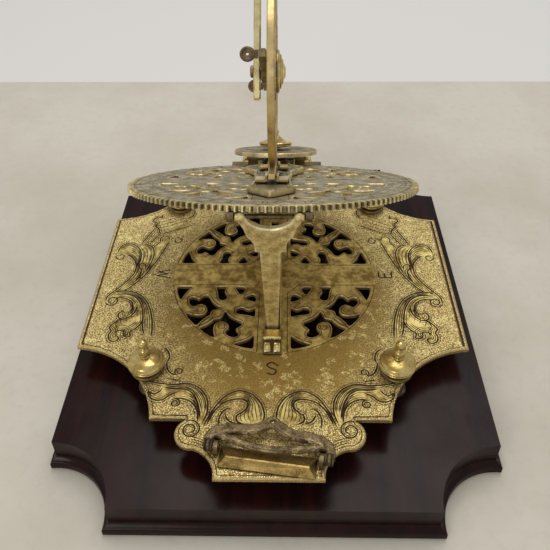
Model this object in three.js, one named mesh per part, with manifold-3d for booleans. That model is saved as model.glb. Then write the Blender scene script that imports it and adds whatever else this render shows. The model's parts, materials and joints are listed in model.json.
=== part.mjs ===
// Mechanical equinoctial (equatorial) sundial on a moulded mahogany plinth.
// Millimetres, +Z up. The origin is the middle of the plinth's underside; the south edge faces -Y.
import * as THREE from "three";
import { mergeVertices } from "three/addons/utils/BufferGeometryUtils.js";
import Module from "manifold-3d";

const wasm = await Module();
wasm.setup();

// ---------- driving dimensions ----------
const PLINTH_HALF_X = 105.4;
const PLINTH_HALF_Y = 128.5;
const PLINTH_NOTCH = 32;
const PLINTH_HEIGHT = 18;
const PLINTH_FLARE = 2.8;

const SEAT_X = -2;
const SEAT_Y = 1.5;
const PLATE_TOP = 32;
const PLATE_THICK = 2.2;
const PLATE_HALF_X = 100;
const PLATE_TAB_Y = 123.7;

const FRET_RADIUS = 55.9;
const FRET_CENTRE_Y = 1.7;
const SLOT_HALF = 3.7;

const SCREW_X = 61.5;
const SCREW_Y = 65.6;

const RING_RADIUS = 76;
const RING_TEETH = 144;
const RING_MODULE = (2 * RING_RADIUS) / (RING_TEETH + 2);
const RING_THICK = 2.9;
const RING_TILT = THREE.MathUtils.degToRad(27.6);
const RING_CENTRE = [0, 12.9, 58.3];
const RING_FRET_RADIUS = 60;
const HINGE_Y = 105.8;
const HINGE_Z = 0.8;

const STRUT_PIVOT_Y = -71;
const STRUT_PIVOT_Z = -5.4;
const STRUT_LENGTH = 88.9;
const STRUT_LEAN = THREE.MathUtils.degToRad(9.86);
const STRUT_SILL = -STRUT_LENGTH + 65.4;
const STRUT_THICK = 3;

const PINION_LEAVES = 6;
const PINION_Y = 78.4;
const DIAL_RADIUS = 26.5;
const DIAL_TOP = 9.1;
const DIAL_THICK = 2.6;

const CIRCLE_PIVOT = 57;
const CIRCLE_RADIUS = 50;
const CIRCLE_THICK = 3.6;
const ALIDADE_TILT = THREE.MathUtils.degToRad(12.7);

const TAB_SKEW = THREE.MathUtils.degToRad(-7.4);

// ---------- solids ----------
function toSolid(geometry) {
  const bare = new THREE.BufferGeometry();
  const flat = geometry.index ? geometry.toNonIndexed() : geometry;
  bare.setAttribute("position", flat.getAttribute("position").clone());
  const merged = mergeVertices(bare, 1e-4);
  const mesh = new wasm.Mesh({
    numProp: 3,
    vertProperties: new Float32Array(merged.attributes.position.array),
    triVerts: new Uint32Array(merged.index.array),
  });
  return new wasm.Manifold(mesh);
}

function toGeometry(solid) {
  const mesh = solid.getMesh();
  const geometry = new THREE.BufferGeometry();
  geometry.setAttribute("position", new THREE.BufferAttribute(new Float32Array(mesh.vertProperties), 3));
  geometry.setIndex(new THREE.BufferAttribute(new Uint32Array(mesh.triVerts), 1));
  const faceted = geometry.toNonIndexed();
  faceted.computeVertexNormals();
  return faceted;
}

const union = (solids) => solids.reduce((a, b) => a.add(b));
const cut = (solid, tools) => solid.subtract(union(tools));

function placed(geometry, x = 0, y = 0, z = 0, rx = 0, ry = 0, rz = 0) {
  const turn = new THREE.Matrix4().makeRotationFromEuler(new THREE.Euler(rx, ry, rz));
  return geometry.clone().applyMatrix4(turn).translate(x, y, z);
}

function slab(points, z0, z1) {
  const shape = new THREE.Shape(points.map(([x, y]) => new THREE.Vector2(x, y)));
  const geometry = new THREE.ExtrudeGeometry(shape, { depth: z1 - z0, bevelEnabled: false });
  return toSolid(geometry.translate(0, 0, z0));
}

function block(x0, x1, y0, y1, z0, z1) {
  const box = new THREE.BoxGeometry(x1 - x0, y1 - y0, z1 - z0);
  return toSolid(box.translate((x0 + x1) / 2, (y0 + y1) / 2, (z0 + z1) / 2));
}

// A turned piece about Z from a profile of [radius, height] pairs that starts and ends on the axis.
function turned(profile, segments, x = 0, y = 0) {
  const points = profile.map(([r, z]) => new THREE.Vector2(r, z));
  const lathe = new THREE.LatheGeometry(points, segments);
  return toSolid(placed(lathe, x, y, 0, Math.PI / 2));
}

function disc(x, y, radius, z0, z1, segments = 24) {
  const round = new THREE.CylinderGeometry(radius, radius, z1 - z0, segments);
  return toSolid(placed(round, x, y, (z0 + z1) / 2, Math.PI / 2));
}

// A cylinder along X.
function rod(radius, x0, x1, y, z, segments = 16) {
  const round = new THREE.CylinderGeometry(radius, radius, x1 - x0, segments);
  return toSolid(placed(round, (x0 + x1) / 2, y, z, 0, 0, Math.PI / 2));
}

// The two ends of a stretch on one side of the middle, the lower first.
const onSide = (sign, near, far) => (sign < 0 ? [-far, -near] : [near, far]);

// A body of constant section along X; its points are [y, z].
function alongX(points, x0, x1) {
  const shape = new THREE.Shape(points.map(([y, z]) => new THREE.Vector2(y, z)));
  const flat = new THREE.ExtrudeGeometry(shape, { depth: x1 - x0, bevelEnabled: false });
  return toSolid(placed(flat, x0, 0, 0, Math.PI / 2, Math.PI / 2));
}

function arc(cx, cy, r, from, to, steps) {
  const points = [];
  for (let i = 0; i <= steps; i++) {
    const a = THREE.MathUtils.degToRad(from + ((to - from) * i) / steps);
    points.push([cx + r * Math.cos(a), cy + r * Math.sin(a)]);
  }
  return points;
}

// A band along a smooth curve through the points, its half width running from w0 to w1.
function ribbon(points, w0, w1, steps) {
  const curve = new THREE.SplineCurve(points.map(([x, y]) => new THREE.Vector2(x, y)));
  const left = [];
  const right = [];
  for (let i = 0; i <= steps; i++) {
    const p = curve.getPoint(i / steps);
    const t = curve.getTangent(i / steps);
    const w = w0 + ((w1 - w0) * i) / steps;
    left.push([p.x - t.y * w, p.y + t.x * w]);
    right.unshift([p.x + t.y * w, p.y - t.x * w]);
  }
  return right.concat(left).reverse();
}

// The outline mirrored left to right and front to back from its quarter x > 0, y < 0.
function fourfold(quarter) {
  const front = quarter.map(([x, y]) => [-x, y]).concat(quarter.slice().reverse());
  const rear = front.slice().reverse().map(([x, y]) => [x, -y]);
  return front.concat(rear);
}

// A body through stacked outlines of equal point count, closed at both ends.
function stacked(levels) {
  const n = levels[0].outline.length;
  const position = levels.flatMap(({ z, outline }) => outline.flatMap(([x, y]) => [x, y, z]));
  const index = [];
  for (let k = 0; k + 1 < levels.length; k++) {
    for (let i = 0; i < n; i++) {
      const a = k * n + i;
      const b = k * n + ((i + 1) % n);
      index.push(a, b, b + n, a, b + n, a + n);
    }
  }
  const flat = (outline) => outline.map(([x, y]) => new THREE.Vector2(x, y));
  const cap = ({ outline }) => THREE.ShapeUtils.triangulateShape(flat(outline), []);
  const top = (levels.length - 1) * n;
  for (const [a, b, c] of cap(levels[0])) {
    index.push(a, c, b);
  }
  for (const [a, b, c] of cap(levels[levels.length - 1])) {
    index.push(top + a, top + b, top + c);
  }
  const geometry = new THREE.BufferGeometry();
  geometry.setAttribute("position", new THREE.Float32BufferAttribute(position, 3));
  geometry.setIndex(index);
  return toSolid(geometry);
}

// ---------- finishes ----------
const BRASS = { color: 0xa8874a, roughness: 0.42, metalness: 0.9 };
const BRIGHT = { color: 0xd9b866, roughness: 0.22, metalness: 1 };
const AGED = { color: 0x857a5c, roughness: 0.5, metalness: 0.85 };
const BROWN = { color: 0x6f6047, roughness: 0.55, metalness: 0.75 };
const MAHOGANY = { color: 0x2c1512, roughness: 0.3, metalness: 0 };

const root = new THREE.Group();
const seat = new THREE.Group();
seat.position.set(SEAT_X, SEAT_Y, PLATE_TOP);
root.add(seat);
const ring = new THREE.Group();
ring.position.set(...RING_CENTRE);
ring.rotation.x = -RING_TILT;
seat.add(ring);

// A point [y, z] of the tilted ring's frame, in the base plate's frame.
function fromRing(y, z) {
  const c = Math.cos(RING_TILT);
  const s = Math.sin(RING_TILT);
  return [RING_CENTRE[1] + y * c + z * s, RING_CENTRE[2] - y * s + z * c];
}

function piece(name, solid, finish, parent) {
  const mesh = new THREE.Mesh(toGeometry(solid), new THREE.MeshStandardMaterial({ ...finish }));
  mesh.name = name;
  parent.add(mesh);
}

// ---------- plinth ----------
// The plinth's plan, grown outwards: straight sides with a quarter circle taken out of each corner.
function plinthOutline(grow) {
  const r = PLINTH_NOTCH - grow;
  const overrun = THREE.MathUtils.radToDeg(Math.asin(grow / r));
  return fourfold(arc(PLINTH_HALF_X, -PLINTH_HALF_Y, r, 90 - overrun, 180 + overrun, 10));
}

const plinthProfile = [
  [0, PLINTH_FLARE],
  [4.4, PLINTH_FLARE],
  [5, PLINTH_FLARE - 0.5],
  [6.4, 0.6],
  [8.6, -0.9],
  [10.6, -1.4],
];
piece(
  "plinth_moulding",
  stacked(plinthProfile.map(([z, grow]) => ({ z, outline: plinthOutline(grow) }))),
  MAHOGANY,
  root,
);
const slabProfile = [
  [10.6, -1.4],
  [11.4, -1.1],
  [12.2, -0.2],
  [13.2, 0],
  [17, 0],
  [17.7, -0.3],
  [PLINTH_HEIGHT, -1],
];
piece(
  "plinth_slab",
  stacked(slabProfile.map(([z, grow]) => ({ z, outline: plinthOutline(grow) }))),
  MAHOGANY,
  root,
);

// ---------- pierced scrollwork shared by the base plate and the hour ring ----------
// The holes on one side of a quadrant's diagonal, from the scrollwork's centre and in the base plate's size.
const FRET_HOLES = [
  [[15.2, 11.6], [16.6, 9.6], [21.2, 9.6], [21, 11.2], [19.2, 14.6], [18, 15.8], [16.8, 14.2]],
  [
    [25.6, 9.6],
    [32.4, 9.6],
    [31.4, 12],
    [30.7, 15],
    [30.5, 18],
    [29.3, 20],
    [27, 20.1],
    [25.6, 18.6],
    [25.5, 16.2],
    [26.7, 15],
    [27.4, 13.2],
    [26.6, 11],
  ],
  [[45.2, 9.6], [54, 9.6], [53.8, 12.4], [52.8, 16.2], [51.2, 20], [50.4, 18.2], [48.6, 13.6], [46.6, 11]],
  [
    [28, 25.4],
    [30.2, 24.6],
    [32.4, 22.6],
    [34.2, 20],
    [35.4, 17.2],
    [36.8, 16.2],
    [38.8, 16.8],
    [40.2, 18.8],
    [41.4, 19.6],
    [42.4, 18.4],
    [44.2, 17.6],
    [46, 18.2],
    [46.6, 20.2],
    [46, 22.4],
    [44.6, 24.2],
    [43, 24.9],
    [41.6, 23.9],
    [39.8, 23],
    [37.8, 23.4],
    [36.4, 24.8],
    [35.6, 26.8],
    [35.8, 29],
    [37, 30.6],
    [39, 31.3],
    [41.6, 31.3],
    [44.4, 30.7],
    [46.6, 29.8],
    [46.3, 31.8],
    [44.8, 34],
    [42.4, 36.8],
    [40.8, 38.4],
    [39.8, 37.8],
    [38.2, 35],
    [35.8, 32.4],
    [34, 31.2],
    [33.6, 29.4],
    [33.4, 27.8],
    [31.4, 27],
    [29.6, 26.6],
  ],
];

function piercings(radius, centreY, z0, z1) {
  const k = radius / FRET_RADIUS;
  const holes = union(FRET_HOLES.map((hole) => slab(hole.map(([x, y]) => [x * k, y * k]), z0 - 1, z1 + 1)));
  const quadrant = holes.add(holes.mirror([1, -1, 0]));
  const right = quadrant.add(quadrant.mirror([0, 1, 0]));
  return right.add(right.mirror([1, 0, 0])).translate([0, centreY, 0]);
}

// ---------- base plate ----------
function plateQuarter(grow) {
  const x = PLATE_HALF_X + grow;
  const bay = 48.2 - grow;
  const bayStart = THREE.MathUtils.radToDeg(Math.acos((x - 104) / bay));
  const bayEnd = 180 - THREE.MathUtils.radToDeg(Math.asin((100 - 94.1 - grow) / bay));
  const side = arc(104, -100, bay, bayStart, bayEnd, 9);
  const volute = arc(35.6, -101.4, 7.8 + grow, 62, -84, 7);
  const throat = arc(38.1, -122.6, 13.9 - grow, 97, 180 + THREE.MathUtils.radToDeg(Math.asin(1.1 / 13.9)), 5);
  const step = [[volute[0][0], -94.1 - grow]];
  const foot = [[throat[5][0], -PLATE_TAB_Y - grow]];
  return side.concat(step, volute, throat.slice(1, 5), foot);
}

const plateOutline = (grow) => fourfold(plateQuarter(grow));
const plateBlank = stacked([
  { z: -PLATE_THICK, outline: plateOutline(-0.3) },
  { z: -PLATE_THICK + 0.3, outline: plateOutline(0) },
  { z: -0.7, outline: plateOutline(0) },
  { z: 0, outline: plateOutline(-0.7) },
]);
const screwPlaces = [
  ["front_left", -SCREW_X, -SCREW_Y],
  ["front_right", SCREW_X, -SCREW_Y],
  ["rear_left", -SCREW_X, SCREW_Y],
  ["rear_right", SCREW_X, SCREW_Y],
];
const plate = cut(plateBlank, [
  piercings(FRET_RADIUS, FRET_CENTRE_Y, -PLATE_THICK, 0),
  block(-SLOT_HALF, SLOT_HALF, -42, 30, -4, 1),
  block(-2.2, 2.2, 29, 50, -4, 1),
  ...screwPlaces.map(([, x, y]) => disc(x, y, 2.9, -4, 1, 20)),
]);
piece("base_plate", plate, BRASS, seat);

// ---------- levelling screws ----------
const footDrop = PLINTH_HEIGHT - PLATE_TOP;
for (const [place, x, y] of screwPlaces) {
  const collar = turned([[0, 0.02], [8, 0.02], [8, 0.9], [7.2, 1.5], [0, 1.5]], 28, x, y);
  piece("screw_collar_" + place, cut(collar, [disc(x, y, 2.9, -1, 3, 20)]), BRASS, seat);
  const cup = [[0, 0], [6, 0], [6, 1], [4.6, 2], [0, 2]].map(([r, z]) => [r, footDrop + z]);
  piece("screw_cup_" + place, turned(cup, 24, x, y), BROWN, seat);
  const head = [
    [0, footDrop + 2.3],
    [2.4, footDrop + 3.6],
    [2.4, 1.9],
    [6, 1.9],
    [6, 4.2],
    [8.8, 4.4],
    [9, 5],
    [8.4, 5.4],
    [9, 6],
    [8.6, 6.8],
    [6, 8.6],
    [1.6, 10],
    [1.6, 11],
    [2.8, 13],
    [1.4, 15.6],
    [2.4, 18],
    [1.8, 20.2],
    [0, 20.8],
  ];
  piece("level_screw_" + place, turned(head, 18, x, y), BRIGHT, seat);
}

// ---------- rear hinge ----------
const [hingeWorldY, hingeWorldZ] = fromRing(HINGE_Y, HINGE_Z);
for (const [side, sign] of [["left", -1], ["right", 1]]) {
  const [x0, x1] = onSide(sign, 12.4, 31);
  const [k0, k1] = onSide(sign, 12.4, 19.4);
  const body = union([
    block(x0, x1, hingeWorldY - 6, hingeWorldY + 6, 0.02, 2.6),
    block(k0, k1, hingeWorldY - 3.2, hingeWorldY + 3.2, 1, hingeWorldZ),
    rod(3.2, k0, k1, hingeWorldY, hingeWorldZ, 20),
  ]);
  piece("hinge_block_" + side, cut(body, [rod(1.45, -40, 40, hingeWorldY, hingeWorldZ, 16)]), BROWN, seat);
}
const hingePin = union([
  rod(1.2, -20.4, 20.4, hingeWorldY, hingeWorldZ, 16),
  rod(2.1, -21.6, -19.8, hingeWorldY, hingeWorldZ, 16),
  rod(2.1, 19.8, 21.6, hingeWorldY, hingeWorldZ, 16),
]);
piece("hinge_pin", hingePin, BRIGHT, seat);

// ---------- spring catch in front of the strut's foot ----------
const catchSide = [
  [-56.6, 0.3],
  [-40.4, 0.3],
  [-40.4, 1.2],
  [-47, 1.2],
  [-47.3, 3.8],
  [-48.6, 3.8],
  [-50.4, 2.6],
  [-55.8, 1.5],
  [-56.6, 1],
];
piece("catch_slide", alongX(catchSide, -4.5, 4.5), BRIGHT, seat);

// ---------- hipped bar and folded plummet bracket on the south tab ----------
const tab = new THREE.Group();
tab.position.set(-0.9, -117.6, 0);
tab.rotation.z = TAB_SKEW;
seat.add(tab);
const rect = (hx, y0, y1) => [[-hx, y0], [hx, y0], [hx, y1], [-hx, y1]];
piece(
  "tab_bar",
  stacked([
    { z: 0.3, outline: rect(21.4, -3.6, 6.2) },
    { z: 0.9, outline: rect(21.4, -3.6, 6.2) },
    { z: 4, outline: rect(18.4, -0.7, 0.1) },
  ]),
  BRIGHT,
  tab,
);
const BRACKET_Y = 4;
const BRACKET_Z = 4.6;
const bracketBore = rod(1.3, -40, 40, BRACKET_Y, BRACKET_Z, 12);
for (const [side, sign] of [["left", -1], ["right", 1]]) {
  const [x0, x1] = onSide(sign, 22.2, 24.2);
  const lug = union([
    block(x0, x1, BRACKET_Y - 2.3, BRACKET_Y + 2.3, 0.3, BRACKET_Z),
    rod(2.3, x0, x1, BRACKET_Y, BRACKET_Z, 14),
  ]);
  piece("bracket_lug_" + side, cut(lug, [bracketBore]), BROWN, tab);
  const [p0, p1] = onSide(sign, 21.8, 29);
  piece("bracket_pin_" + side, rod(1, p0, p1, BRACKET_Y, BRACKET_Z, 12), BROWN, tab);
}
const bow = [[26.4, 6.2], [24.8, 10], [18.5, 12.6], [9.5, 13.4], [4.4, 15.6], [0, 18.8]];
const bowHalf = slab(ribbon(bow, 2.8, 2.4, 9), 3.8, 6.6);
const bracketBar = [[-26.4, 7], [-20, 8], [-10, 5.7], [0, 4.7], [10, 5.7], [20, 8], [26.4, 7]];
let bracket = union([
  bowHalf,
  bowHalf.mirror([1, 0, 0]),
  slab(ribbon(bracketBar, 1.5, 1.5, 10), 4.2, 6.6),
  disc(0, 18.4, 2.8, 3.8, 6.6, 14),
  rod(2.9, -28.4, -24.6, BRACKET_Y, BRACKET_Z, 16),
  rod(2.9, 24.6, 28.4, BRACKET_Y, BRACKET_Z, 16),
]);
const lugRoom = block(21.9, 24.5, 0, 6.6, 0, 8);
bracket = cut(bracket, [
  bracketBore,
  disc(0, 18.4, 0.9, 0, 8, 10),
  block(-24.5, 24.5, 0, 6.6, 0, 4),
  lugRoom,
  lugRoom.mirror([1, 0, 0]),
]);
piece("plummet_bracket", bracket, BROWN, tab);

// ---------- hour ring ----------
function gearOutline(teeth, tip, rootRadius, phase, tipShare, rootShare) {
  const points = [];
  for (let i = 0; i < teeth; i++) {
    const a = ((i + phase) / teeth) * 2 * Math.PI;
    const half = Math.PI / teeth;
    const flank = [[rootRadius, rootShare], [tip, tipShare]];
    for (const [r, share] of flank) {
      points.push([r * Math.cos(a - share * half), r * Math.sin(a - share * half)]);
    }
    for (const [r, share] of flank.reverse()) {
      points.push([r * Math.cos(a + share * half), r * Math.sin(a + share * half)]);
    }
  }
  return points;
}

const ringRoot = RING_RADIUS - 2.25 * RING_MODULE;
let hourRing = slab(gearOutline(RING_TEETH, RING_RADIUS, ringRoot, 0.5, 0.3, 0.56), -RING_THICK, 0);
hourRing = cut(hourRing, [
  piercings(RING_FRET_RADIUS, 0, -RING_THICK, 0),
  disc(0, 0, 3.4, -6, 2, 24),
]);
piece("hour_ring", hourRing, AGED, ring);

// Tail under the ring that carries its half of the rear hinge.
const tail = union([
  block(-12, 12, 63, 95, -RING_THICK - 2.6, -RING_THICK - 0.3),
  block(-12, 12, 90.4, 95, -RING_THICK - 2.4, 0.6),
  block(-12, 12, 94, HINGE_Y, -1.6, 1.8),
  rod(3.2, -12, 12, HINGE_Y, HINGE_Z, 20),
]);
piece("ring_tail", cut(tail, [rod(1.45, -40, 40, HINGE_Y, HINGE_Z, 16)]), AGED, ring);

// Brackets under the ring's front that carry the strut's pivot.
for (const [side, sign] of [["left", -1], ["right", 1]]) {
  const [x0, x1] = onSide(sign, 15.6, 18.4);
  const lug = union([
    block(x0, x1, STRUT_PIVOT_Y - 2.4, STRUT_PIVOT_Y + 6, -RING_THICK - 2.2, -RING_THICK - 0.3),
    block(x0, x1, STRUT_PIVOT_Y - 2.4, STRUT_PIVOT_Y + 2.4, STRUT_PIVOT_Z, -RING_THICK - 0.3),
    rod(2.4, x0, x1, STRUT_PIVOT_Y, STRUT_PIVOT_Z, 16),
  ]);
  piece("strut_lug_" + side, cut(lug, [rod(1.3, -40, 40, STRUT_PIVOT_Y, STRUT_PIVOT_Z, 12)]), AGED, ring);
}
piece("strut_pin", rod(1, -19, 19, STRUT_PIVOT_Y, STRUT_PIVOT_Z, 12), BRIGHT, ring);

// ---------- strut ----------
const strut = new THREE.Group();
strut.position.set(0, ...fromRing(STRUT_PIVOT_Y, STRUT_PIVOT_Z));
strut.rotation.x = Math.PI / 2 + STRUT_LEAN;
seat.add(strut);
// Right half from the foot up to the pivot; heights are measured down from the pivot.
const strutHalf = [
  [3, -STRUT_LENGTH],
  [4.9, STRUT_SILL - 0.1],
  [7.2, STRUT_SILL],
  [7.2, STRUT_SILL + 3.5],
  [9.4, STRUT_SILL + 9.2],
  [11.6, STRUT_SILL + 15.6],
  [15.2, STRUT_SILL + 23.9],
  [15.2, 1.4],
  [11, 1.4],
];
const archHalf = arc(0, 1.6, 10.4, -10, -80, 6).map(([x, y]) => [x, y * 0.82]);
const strutRight = strutHalf.concat(archHalf);
const strutOutline = strutRight.concat(strutRight.slice().reverse().map(([x, y]) => [-x, y]));
let strutSolid = slab(strutOutline, -STRUT_THICK / 2, STRUT_THICK / 2);
strutSolid = union([
  strutSolid,
  rod(2.2, -15.2, -11, 0, 0, 16),
  rod(2.2, 11, 15.2, 0, 0, 16),
]);
piece("strut", cut(strutSolid, [rod(1.3, -40, 40, 0, 0, 12)]), BRASS, strut);

// ---------- carriage: the strapwork plate that turns on the ring ----------
const carriageRight = [
  [0, -57],
  [11.6, -41.4],
  [11.4, -38.6],
  [9.8, -37],
  [9.4, -24],
  [9, -10],
  [9.2, -2],
  [10.4, 4],
  [9.6, 10],
  [10.6, 17],
  [13.8, 24],
  [16.8, 30.6],
  [17, 36],
  [14.6, 41],
  [9.4, 47],
  [8.4, 60],
  [7.6, 70],
];
const carriageOutline = carriageRight.concat(
  arc(0, PINION_Y, 7.6, 0, 180, 12),
  carriageRight.slice(1).reverse().map(([x, y]) => [-x, y]),
);
const carriageBores = [disc(0, 0, 3.4, -1, 5, 24), disc(0, PINION_Y, 2, -1, 5, 16)];
piece("carriage_plate", cut(slab(carriageOutline, 0.4, 3.4), carriageBores), AGED, ring);

// The stud that holds the carriage down through the ring's centre, and the nut under the ring.
const stud = union([disc(0, 0, 3, -RING_THICK - 3.8, 4, 24), disc(0, 0, 5.2, 3.7, 4.8, 24)]);
piece("carriage_stud", stud, AGED, ring);
const stopNut = cut(disc(0, 0, 6.4, -RING_THICK - 3.4, -RING_THICK - 0.4, 6), [disc(0, 0, 3.3, -9, -3, 24)]);
piece("stud_nut", stopNut, AGED, ring);

// ---------- upright declination circle, in the meridian plane ----------
const halfThick = CIRCLE_THICK / 2;
const wheelRing = (r, steps) => arc(0, CIRCLE_PIVOT, r, 0, 360 - 360 / steps, steps - 1);
const standHalf = [[34, 5.2], [34, 8], [24, 9.4], [13, 12.6], [9, 16.4]];
const standFoot = standHalf.concat(standHalf.slice().reverse().map(([y, z]) => [-y, z]));
const spoke = (a) => {
  const points = rect(4.2, 12, CIRCLE_RADIUS - 4).map(([x, y]) => {
    const c = Math.cos(a);
    const s = Math.sin(a);
    return [x * c - y * s, CIRCLE_PIVOT + x * s + y * c];
  });
  return alongX(points, -halfThick + 0.5, halfThick - 0.5);
};
let wheel = cut(alongX(wheelRing(CIRCLE_RADIUS, 64), -halfThick, halfThick), [
  alongX(wheelRing(CIRCLE_RADIUS - 8.5, 48), -halfThick - 1, halfThick + 1),
]);
const spokes = [0, 1, 2, 3].map((i) => spoke((i * Math.PI) / 2));
const boss = alongX(wheelRing(14, 28), -halfThick, halfThick);
wheel = union([wheel, ...spokes, boss, alongX(standFoot, -halfThick, halfThick)]);
piece("declination_circle", cut(wheel, [alongX(wheelRing(2.6, 20), -5, 5)]), BRASS, ring);

// Angle cleats that clamp the circle's foot to the carriage.
for (const [end, sign] of [["front", -1], ["rear", 1]]) {
  const y = sign * 25;
  for (const [side, sx] of [["left", -1], ["right", 1]]) {
    const [x0, x1] = onSide(sx, 2.1, 8);
    const [s0, s1] = onSide(sx, 2.1, 3.5);
    const cleat = union([block(x0, x1, y - 6.5, y + 6.5, 3.7, 5), block(s0, s1, y - 6.5, y + 6.5, 4.4, 6.8)]);
    piece("cleat_" + end + "_" + side, cleat, BRIGHT, ring);
  }
}

// ---------- minute work at the back of the carriage ----------
const bush = cut(turned([[0, 3.7], [6, 3.7], [6, 4.4], [4.2, 5], [4.2, 6.2], [0, 6.2]], 24, 0, PINION_Y), [
  disc(0, PINION_Y, 2, 0, 12, 16),
]);
piece("dial_bush", bush, AGED, ring);
const dialProfile = [
  [0, DIAL_TOP - DIAL_THICK],
  [DIAL_RADIUS - 0.6, DIAL_TOP - DIAL_THICK],
  [DIAL_RADIUS, DIAL_TOP - DIAL_THICK + 0.5],
  [DIAL_RADIUS, DIAL_TOP - 0.5],
  [DIAL_RADIUS - 0.6, DIAL_TOP],
  [0, DIAL_TOP],
];
const dialBore = disc(0, PINION_Y, 2, 5, 15, 16);
piece("minute_dial", cut(turned(dialProfile, 48, 0, PINION_Y), [dialBore]), AGED, ring);

const leafTip = RING_MODULE * (PINION_LEAVES / 2 + 0.86);
const leafRoot = RING_MODULE * (PINION_LEAVES / 2 - 1.15);
const leaves = gearOutline(PINION_LEAVES, leafTip, leafRoot, 1.5, 0.16, 0.5);
const pinion = slab(leaves.map(([x, y]) => [x, y + PINION_Y]), -RING_THICK + 0.2, -0.2);
const arbor = union([pinion, disc(0, PINION_Y, 1.6, -RING_THICK + 0.2, DIAL_TOP + 1.2, 14)]);
piece("minute_pinion", arbor, BRASS, ring);
const knobProfile = [
  [0, 10.6],
  [4.8, 10.6],
  [10.2, 11.7],
  [10.5, 12.4],
  [9.8, 12.8],
  [10.7, 13.3],
  [10.4, 13.9],
  [6.2, 15.3],
  [3, 17.4],
  [1.4, 18.9],
  [2.2, 20.1],
  [1.8, 21.5],
  [0, 22.1],
];
piece("minute_knob", turned(knobProfile, 24, 0, PINION_Y), BRIGHT, ring);
const handHalf = [[1.4, -8], [2.2, 0], [1.1, 10], [0.5, 22.6]];
const handPoints = handHalf.concat(handHalf.slice().reverse().map(([x, y]) => [-x, y]));
const hand = slab(handPoints.map(([x, y]) => [x, y + PINION_Y]), DIAL_TOP + 0.4, DIAL_TOP + 1.2);
piece("minute_hand", cut(hand, [disc(0, PINION_Y, 1.9, DIAL_TOP, DIAL_TOP + 2, 16)]), BRIGHT, ring);

// ---------- alidade on the left face of the circle ----------
const alidade = new THREE.Group();
alidade.position.set(0, 0, CIRCLE_PIVOT);
alidade.rotation.x = -ALIDADE_TILT;
ring.add(alidade);
const mirroredY = (points) => points.slice().reverse().map(([y, z]) => [-y, z]);
const mirroredZ = (points) => points.slice().reverse().map(([y, z]) => [y, -z]);
const pivotBore = rod(2.3, -20, 0, 0, 0, 20);
const sightQuarter = [[8, -4.4], [10, -2.6], [37, -2]];
const sightUnder = mirroredY(sightQuarter).concat(sightQuarter);
const sightBar = sightUnder.concat(mirroredZ(sightUnder));
piece("sight_bar", cut(alongX(sightBar, -6, -2.4), [pivotBore]), BROWN, alidade);
const indexHalf = [[3, -15], [3.4, 0], [2.6, 20], [1.1, 47.4]];
const indexArm = indexHalf.concat([[0, 48.6]], mirroredY(indexHalf));
piece("index_arm", cut(alongX(indexArm, -10, -6.3), [pivotBore]), BRIGHT, alidade);
for (const [end, y] of [["near", -34], ["far", 34]]) {
  const stem = block(-8.8, -6.3, y - 0.9, y + 0.9, -1.9, 1.9);
  const eye = toSolid(placed(new THREE.CylinderGeometry(3.65, 3.65, 1.8, 24), -11.2, y, 0));
  const pinhole = toSolid(placed(new THREE.CylinderGeometry(0.75, 0.75, 4, 12), -11.2, y, 0));
  piece("sight_" + end, cut(stem.add(eye), [pinhole]), BROWN, alidade);
}
const pivotScrew = union([rod(1.9, -10.6, 6, 0, 0, 20), rod(3.2, -11.8, -10.3, 0, 0, 20)]);
piece("alidade_pivot", pivotScrew, BRASS, alidade);
const rosetteProfile = [
  [0, 0],
  [11.3, 0],
  [11.3, 0.8],
  [10.2, 1.5],
  [9.2, 1.4],
  [8.2, 2.4],
  [6.6, 2.6],
  [5.6, 3.4],
  [3.6, 3.8],
  [2.4, 4.4],
  [0, 4.6],
];
const rosettePoints = rosetteProfile.map(([r, z]) => new THREE.Vector2(r, z));
const rosette = toSolid(placed(new THREE.LatheGeometry(rosettePoints, 28), 2.1, 0, 0, 0, 0, -Math.PI / 2));
piece("rosette_nut", cut(rosette, [rod(2.2, 0, 6.3, 0, 0, 20)]), BRIGHT, alidade);

export default root;
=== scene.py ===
"""Looks of the mechanical equinoctial sundial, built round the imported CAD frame.

Blender works in metres in the CAD frame. Each piece is drawn in millimetres in the frame of the part that it
belongs to (the base plate, the tilted ring, the prop, the alidade or the south tab) and placed from there.
"""
import json
import math

import bpy
import numpy as np
from mathutils import Matrix, Vector
from mathutils.geometry import delaunay_2d_cdt


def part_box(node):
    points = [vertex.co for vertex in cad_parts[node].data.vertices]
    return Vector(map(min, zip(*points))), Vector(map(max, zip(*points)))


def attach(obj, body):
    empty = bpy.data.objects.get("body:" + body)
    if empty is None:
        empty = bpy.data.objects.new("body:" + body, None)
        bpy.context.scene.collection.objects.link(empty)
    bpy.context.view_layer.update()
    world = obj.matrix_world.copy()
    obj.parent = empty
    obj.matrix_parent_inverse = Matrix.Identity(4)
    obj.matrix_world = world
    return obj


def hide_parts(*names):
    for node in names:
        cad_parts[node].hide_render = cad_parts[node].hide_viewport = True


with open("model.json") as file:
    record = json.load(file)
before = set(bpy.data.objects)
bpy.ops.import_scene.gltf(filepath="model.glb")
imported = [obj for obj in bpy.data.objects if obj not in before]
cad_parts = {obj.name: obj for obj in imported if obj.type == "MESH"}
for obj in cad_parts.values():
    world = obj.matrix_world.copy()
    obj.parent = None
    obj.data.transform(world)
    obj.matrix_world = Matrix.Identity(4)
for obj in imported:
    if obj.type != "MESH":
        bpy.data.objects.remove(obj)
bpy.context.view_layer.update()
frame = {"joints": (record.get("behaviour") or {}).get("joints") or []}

MM = 0.001
joints = {joint["name"]: joint for joint in frame["joints"]}


# ---------- places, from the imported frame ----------
def frame_at(origin, x, y, z):
    """Matrix from local millimetres to the row frame in metres."""
    turn = Matrix((x, y, z)).transposed().to_4x4()
    return Matrix.Translation(origin) @ turn @ Matrix.Scale(MM, 4)


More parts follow.
